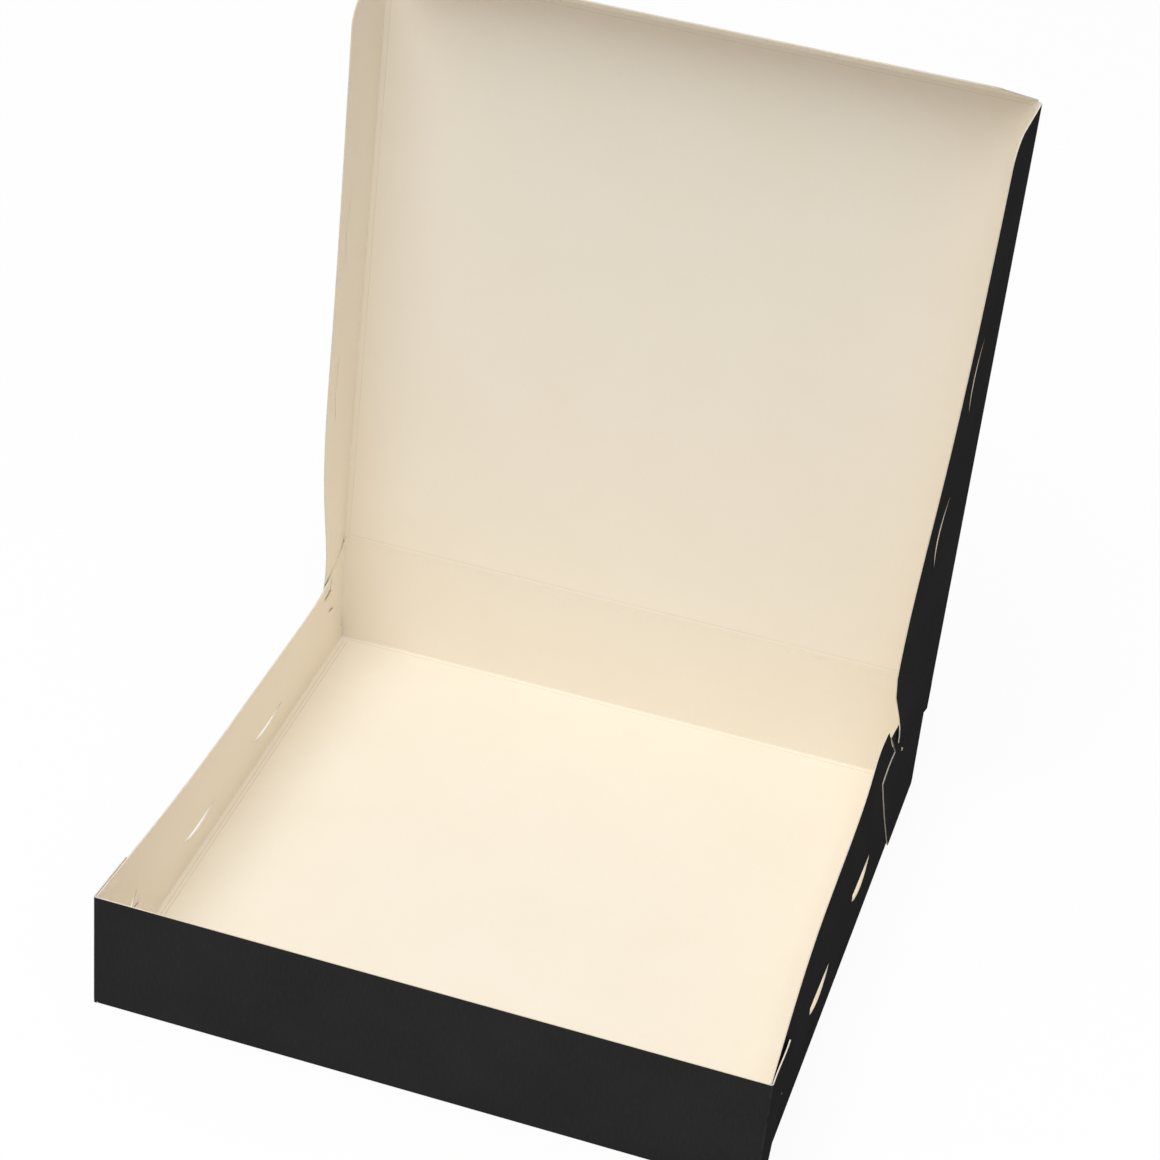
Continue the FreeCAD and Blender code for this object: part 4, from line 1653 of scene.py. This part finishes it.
@dataclass
class SideFlap:
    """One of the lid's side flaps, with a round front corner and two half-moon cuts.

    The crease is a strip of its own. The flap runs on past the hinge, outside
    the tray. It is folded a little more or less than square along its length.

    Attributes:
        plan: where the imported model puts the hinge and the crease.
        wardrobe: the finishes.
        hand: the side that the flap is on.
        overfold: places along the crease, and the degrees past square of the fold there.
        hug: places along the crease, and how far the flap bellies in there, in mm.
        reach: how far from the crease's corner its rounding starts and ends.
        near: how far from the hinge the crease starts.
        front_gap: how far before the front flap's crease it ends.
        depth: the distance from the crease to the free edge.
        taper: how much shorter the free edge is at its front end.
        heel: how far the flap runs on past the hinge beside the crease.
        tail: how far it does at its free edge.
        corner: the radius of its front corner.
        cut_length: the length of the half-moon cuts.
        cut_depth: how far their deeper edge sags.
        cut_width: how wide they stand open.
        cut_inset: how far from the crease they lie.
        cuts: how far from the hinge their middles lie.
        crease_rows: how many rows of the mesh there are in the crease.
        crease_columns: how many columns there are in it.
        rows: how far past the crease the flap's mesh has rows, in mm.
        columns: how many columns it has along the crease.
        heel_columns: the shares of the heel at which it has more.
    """

    plan: Plan
    wardrobe: Wardrobe
    hand: Hand
    overfold: tuple[Point, ...]
    hug: tuple[Point, ...] = ((0.0, 0.0), (1.0, 0.0))
    reach: float = 0.6 * MM
    near: float = 0.3 * MM
    front_gap: float = 0.9 * MM
    depth: float = 39 * MM
    taper: float = 5 * MM
    heel: float = 14.5 * MM
    tail: float = 13.0 * MM
    corner: float = 14 * MM
    cut_length: float = 39 * MM
    cut_depth: float = 4.2 * MM
    cut_width: float = 1.3 * MM
    cut_inset: float = 24.5 * MM
    cuts: Point = (95 * MM, 177 * MM)
    crease_rows: int = 5
    crease_columns: int = 24
    rows: tuple[float, ...] = (0.0, 0.6, 1.6, 10, 19, 29)
    columns: int = 30
    heel_columns: Point = (0.6, 0.3)

    def __post_init__(self) -> None:
        """Works out the crease and how the fold varies along it."""
        self.crease = Fold(math.pi / 2, self.reach)
        self.far = self.plan.lid_length - self.front_gap
        places, angles = zip(*self.overfold)
        self.extra = SmoothCurve(places, [math.radians(angle) for angle in angles])
        places, depths = zip(*self.hug)
        self.belly = SmoothCurve(places, [depth * MM for depth in depths])

    def build(self) -> list[bpy.types.Object]:
        """Makes the crease and the flap.

        Returns:
            The finished pieces.
        """
        word = self.hand.word
        body = f"lid_{word}_flap"
        turned = self.hand is Hand.RIGHT
        crease = self.wardrobe.board(
            self.crease_blank().folded(f"{word}_flap_crease", self.fold, turned)
        )
        start = self.fold(0.0, 0.0)
        self.fold(0.0, self.crease.run)
        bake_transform(crease)
        flap = self.wardrobe.board(self.flap_blank().folded(f"{word}_flap", self.fold, turned))
        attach(flap, body)
        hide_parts(body)
        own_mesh(flap)
        return [crease, flap]

    # the flat flap: u runs along the crease from the hinge, v onwards from the panel's edge

    def crease_blank(self) -> Blank:
        """The narrow strip of board that is the crease.

        Returns:
            The blank.
        """
        end = self.crease.run
        blank = Blank(outline=[(self.near, 0.0), (self.far, 0.0), (self.far, end), (self.near, end)])
        columns = steps(self.near, self.far, self.crease_columns)[1:-1]
        rows = steps(0.0, end, self.crease_rows)[1:-1]
        blank.add_grid(columns, rows, (self.near, 0.0), (self.far, end))
        blank.creases = [((self.near, end / 2), (self.far, end / 2))]
        return blank

    def flap_blank(self) -> Blank:
        """The flap from its crease to its free edge, with its two cuts.

        Returns:
            The blank.
        """
        onward = self.crease.run - self.reach
        tip = self.far - self.taper
        start = (tip + self.taper * self.corner / self.depth, self.depth - self.corner + onward)
        end = (tip - self.corner * 0.9, self.depth + onward)
        edge = onward - self.plan.board / 2
        outline = [(-self.heel, edge), (0.0, edge), (self.near, self.crease.run)]
        outline += [(self.far, self.crease.run), start, *arc(start, end, self.corner), end]
        outline += [(-self.tail, self.depth + onward)]
        holes = []
        for middle in self.cuts:
            a = (middle - self.cut_length / 2, self.cut_inset + onward)
            b = (middle + self.cut_length / 2, self.cut_inset + onward)
            deep = sagging(b, a, self.cut_depth, CUT_PIECES)
            shallow = sagging(a, b, self.cut_width - self.cut_depth, CUT_PIECES)
            holes.append([a, *shallow, b, *deep])
        blank = Blank(outline=outline, holes=holes)
        low, high = (-self.heel, edge), (self.far, self.depth + onward)
        rows = [self.crease.run + past * MM for past in self.rows]
        columns = [-share * self.heel for share in self.heel_columns]
        columns += steps(self.near, self.far, self.columns)[:-1]
        blank.add_grid(columns, rows, low, high)
        blank.creases = [((self.near, self.crease.run / 2), (self.far, self.crease.run / 2))]
        return blank

    def fold(self, u: float, v: float) -> Vector:
        """The place of a flat point.

        Args:
            u: how far it is from the hinge, along the crease.
            v: how far it is from the panel's edge, over the crease.

        Returns:
            The place of the middle of the board there.
        """
        onwards, inwards = self.crease.place(v)
        beyond = v - self.crease.run
        if beyond <= 0 and u < self.near - SLACK:
            onwards, inwards = 0.0, self.reach + beyond
        if beyond > 0:
            angle = self.extra(u)
            arch = math.sin(min(beyond / self.depth, 1.0) * math.pi)
            onwards -= beyond * math.sin(angle) + self.belly(u) * arch
            inwards = self.reach + beyond * math.cos(angle)
        across = self.hand.value * (self.plan.flap_x + onwards)
        return self.plan.on_lid(across, u, inwards)


# ---------------------------------------------------------------- studio and camera


@dataclass
class Studio:
    """A white studio: a floor that keeps a soft shadow, one large lamp and an even fill.

    Attributes:
        floor_size: the length of the floor's sides.
        floor_drop: how far below the box it lies.
        floor_colour: its own colour, which lights the box from below.
        floor_roughness: how matt it is.
        floor_glow: how brightly the camera sees it.
        shadow_share: how much of the shadows on it the camera sees.
        fill: the strength of the even fill.
        fill_colour: its colour.
        key_azimuth: where the lamp stands round the box, in degrees.
        key_elevation: how high it stands, in degrees.
        key_distance: how far from the middle of the box it hangs.
        key_size: the length of its sides.
        key_power: its power, in watts.
        key_colour: its colour.
    """

    floor_size: float = 8.0
    floor_drop: float = 0.2 * MM
    floor_colour: Colour = (0.50, 0.50, 0.50)
    floor_roughness: float = 0.9
    floor_glow: float = 1.08
    shadow_share: float = 0.14
    fill: float = 0.53
    fill_colour: Colour = (1.0, 0.94, 0.89)
    key_azimuth: float = -14.0
    key_elevation: float = 64.0
    key_distance: float = 2.4
    key_size: float = 2.2
    key_power: float = 45.0
    key_colour: Colour = (0.895, 0.955, 1.0)

    def build(self) -> None:
        """Builds the floor, the world and the lamp."""
        self._floor()
        self._world()
        self._key()

    def _floor(self) -> None:
        """Lays the floor under the box."""
        half = self.floor_size / 2
        mesh = bpy.data.meshes.new("studio_floor")
        corners = [(-half, -half, 0), (half, -half, 0), (half, half, 0), (-half, half, 0)]
        mesh.from_pydata(corners, [], [(0, 1, 2, 3)])
        made = bpy.data.materials.new("studio_floor")
        made.use_nodes = True
        nodes, links = made.node_tree.nodes, made.node_tree.links
        plain = nodes["Principled BSDF"]
        plain.inputs["Base Color"].default_value = (*self.floor_colour, 1.0)
        plain.inputs["Roughness"].default_value = self.floor_roughness
        white = nodes.new("ShaderNodeEmission")
        white.inputs["Strength"].default_value = self.floor_glow
        path = nodes.new("ShaderNodeLightPath")
        share = nodes.new("ShaderNodeMath")
        share.operation = "MULTIPLY"
        share.inputs[1].default_value = 1 - self.shadow_share
        links.new(path.outputs["Is Camera Ray"], share.inputs[0])
        mix = nodes.new("ShaderNodeMixShader")
        links.new(share.outputs[0], mix.inputs[0])
        links.new(plain.outputs[0], mix.inputs[1])
        links.new(white.outputs[0], mix.inputs[2])
        links.new(mix.outputs[0], nodes["Material Output"].inputs["Surface"])
        mesh.materials.append(made)
        floor = bpy.data.objects.new("studio_floor", mesh)
        bpy.context.scene.collection.objects.link(floor)
        floor.location.z = -self.floor_drop

    def _world(self) -> None:
        """Makes a world that is white to the camera and an even fill to the box."""
        world = bpy.data.worlds.new("studio")
        world.use_nodes = True
        nodes, links = world.node_tree.nodes, world.node_tree.links
        back = nodes["Background"]
        path = nodes.new("ShaderNodeLightPath")
        tint = nodes.new("ShaderNodeMix")
        tint.data_type = "RGBA"
        tint.inputs[6].default_value = (*self.fill_colour, 1.0)
        tint.inputs[7].default_value = (1.0, 1.0, 1.0, 1.0)
        links.new(path.outputs["Is Camera Ray"], tint.inputs["Factor"])
        links.new(tint.outputs[2], back.inputs["Color"])
        level = nodes.new("ShaderNodeMapRange")
        level.inputs["To Min"].default_value = self.fill
        level.inputs["To Max"].default_value = 1.0
        links.new(path.outputs["Is Camera Ray"], level.inputs["Value"])
        links.new(level.outputs[0], back.inputs["Strength"])
        bpy.context.scene.world = world

    def _key(self) -> None:
        """Hangs the large lamp up on the left in front."""
        lamp = bpy.data.lights.new("key_lamp", "AREA")
        lamp.shape = "SQUARE"
        lamp.size = self.key_size
        lamp.energy = self.key_power
        lamp.color = self.key_colour
        holder = bpy.data.objects.new("key_lamp", lamp)
        bpy.context.scene.collection.objects.link(holder)
        middle = (CAD_BOX[0] + CAD_BOX[1]) / 2
        away = outwards(self.key_azimuth, self.key_elevation)
        holder.location = middle + away * self.key_distance
        holder.rotation_euler = away.to_track_quat("Z", "Y").to_euler()


def outwards(azimuth: float, elevation: float) -> Vector:
    """The direction from the box to a viewer. Azimuth 0 is in front and 90 on the right."""
    a, e = math.radians(azimuth), math.radians(elevation)
    return Vector((math.sin(a) * math.cos(e), -math.cos(a) * math.cos(e), math.sin(e)))


@dataclass
class CameraRig:
    """The camera, up in front of the box and a little to the right.

    Attributes:
        azimuth: where it stands round the box, in degrees.
        elevation: how far above the horizon it stands, in degrees.
        roll: how far it is turned about its own line of sight, in degrees.
        distance: how far it is from the point that it looks at.
        aim: that point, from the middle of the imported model's box.
        lens: its focal length, in millimetres.
        sensor: the width of its sensor, in millimetres.
    """

    azimuth: float = 14.106
    elevation: float = 34.340
    roll: float = 5.888
    distance: float = 1.4
    aim: tuple[float, float, float] = (7.44 * MM, 0.90 * MM, -21.77 * MM)
    lens: float = 99.73
    sensor: float = 36.0

    def build(self) -> None:
        """Builds the camera and makes it the scene's."""
        camera = bpy.data.cameras.new("camera")
        camera.lens = self.lens
        camera.sensor_width = self.sensor
        holder = bpy.data.objects.new("camera", camera)
        bpy.context.scene.collection.objects.link(holder)
        away = outwards(self.azimuth, self.elevation)
        middle = (CAD_BOX[0] + CAD_BOX[1]) / 2
        holder.location = middle + Vector(self.aim) + away * self.distance
        level = away.to_track_quat("Z", "Y").to_matrix()
        turned = Euler((0, 0, math.radians(self.roll))).to_matrix()
        holder.rotation_euler = (level @ turned).to_euler()
        bpy.context.scene.camera = holder


# ---------------------------------------------------------------- build


def left_flap(plan: Plan, wardrobe: Wardrobe) -> SideFlap:
    """The left side flap, which is over-folded near the hinge and open at its front.

    Args:
        plan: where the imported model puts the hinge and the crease.
        wardrobe: the finishes.

    Returns:
        The flap.
    """
    far = plan.lid_length
    overfold = ((-14.5 * MM, 6.5), (0, 7.8), (35 * MM, 3.8), (far * 0.4, 0.0), (far, -2.5))
    hug = ((-14.5 * MM, 0.3), (-2 * MM, 0.9), (14 * MM, 0.7), (45 * MM, 0.0), (far, 0.0))
    return SideFlap(plan, wardrobe, Hand.LEFT, overfold, hug)


def right_flap(plan: Plan, wardrobe: Wardrobe) -> SideFlap:
    """The right side flap, which is over-folded all along and most near the hinge.

    Args:
        plan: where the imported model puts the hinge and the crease.
        wardrobe: the finishes.

    Returns:
        The flap.
    """
    far = plan.lid_length
    overfold = ((-14.5 * MM, 8.6), (-2 * MM, 10.8), (9 * MM, 16.4), (24 * MM, 18.4))
    overfold += ((far * 0.42, 11.4), (far, 4.0))
    return SideFlap(plan, wardrobe, Hand.RIGHT, overfold)


def main() -> None:
    """Builds every piece of the box, then the studio and the camera."""
    logging.basicConfig(level=logging.INFO, format="%(name)s: %(message)s")
    plan = Plan.from_frame(frame)
    wardrobe = Wardrobe(plan)
    parts = (
        Tray(plan, wardrobe),
        LidPanel(plan, wardrobe),
        FrontFlap(plan, wardrobe),
        left_flap(plan, wardrobe),
        right_flap(plan, wardrobe),
    )
    for part in parts:
        for piece in part.build():
            log.info("%s: %d faces", piece.name, len(piece.data.polygons))
    Studio().build()
    CameraRig().build()
    bpy.context.scene.view_settings.view_transform = "Standard"


if __name__ == "__main__":
    main()
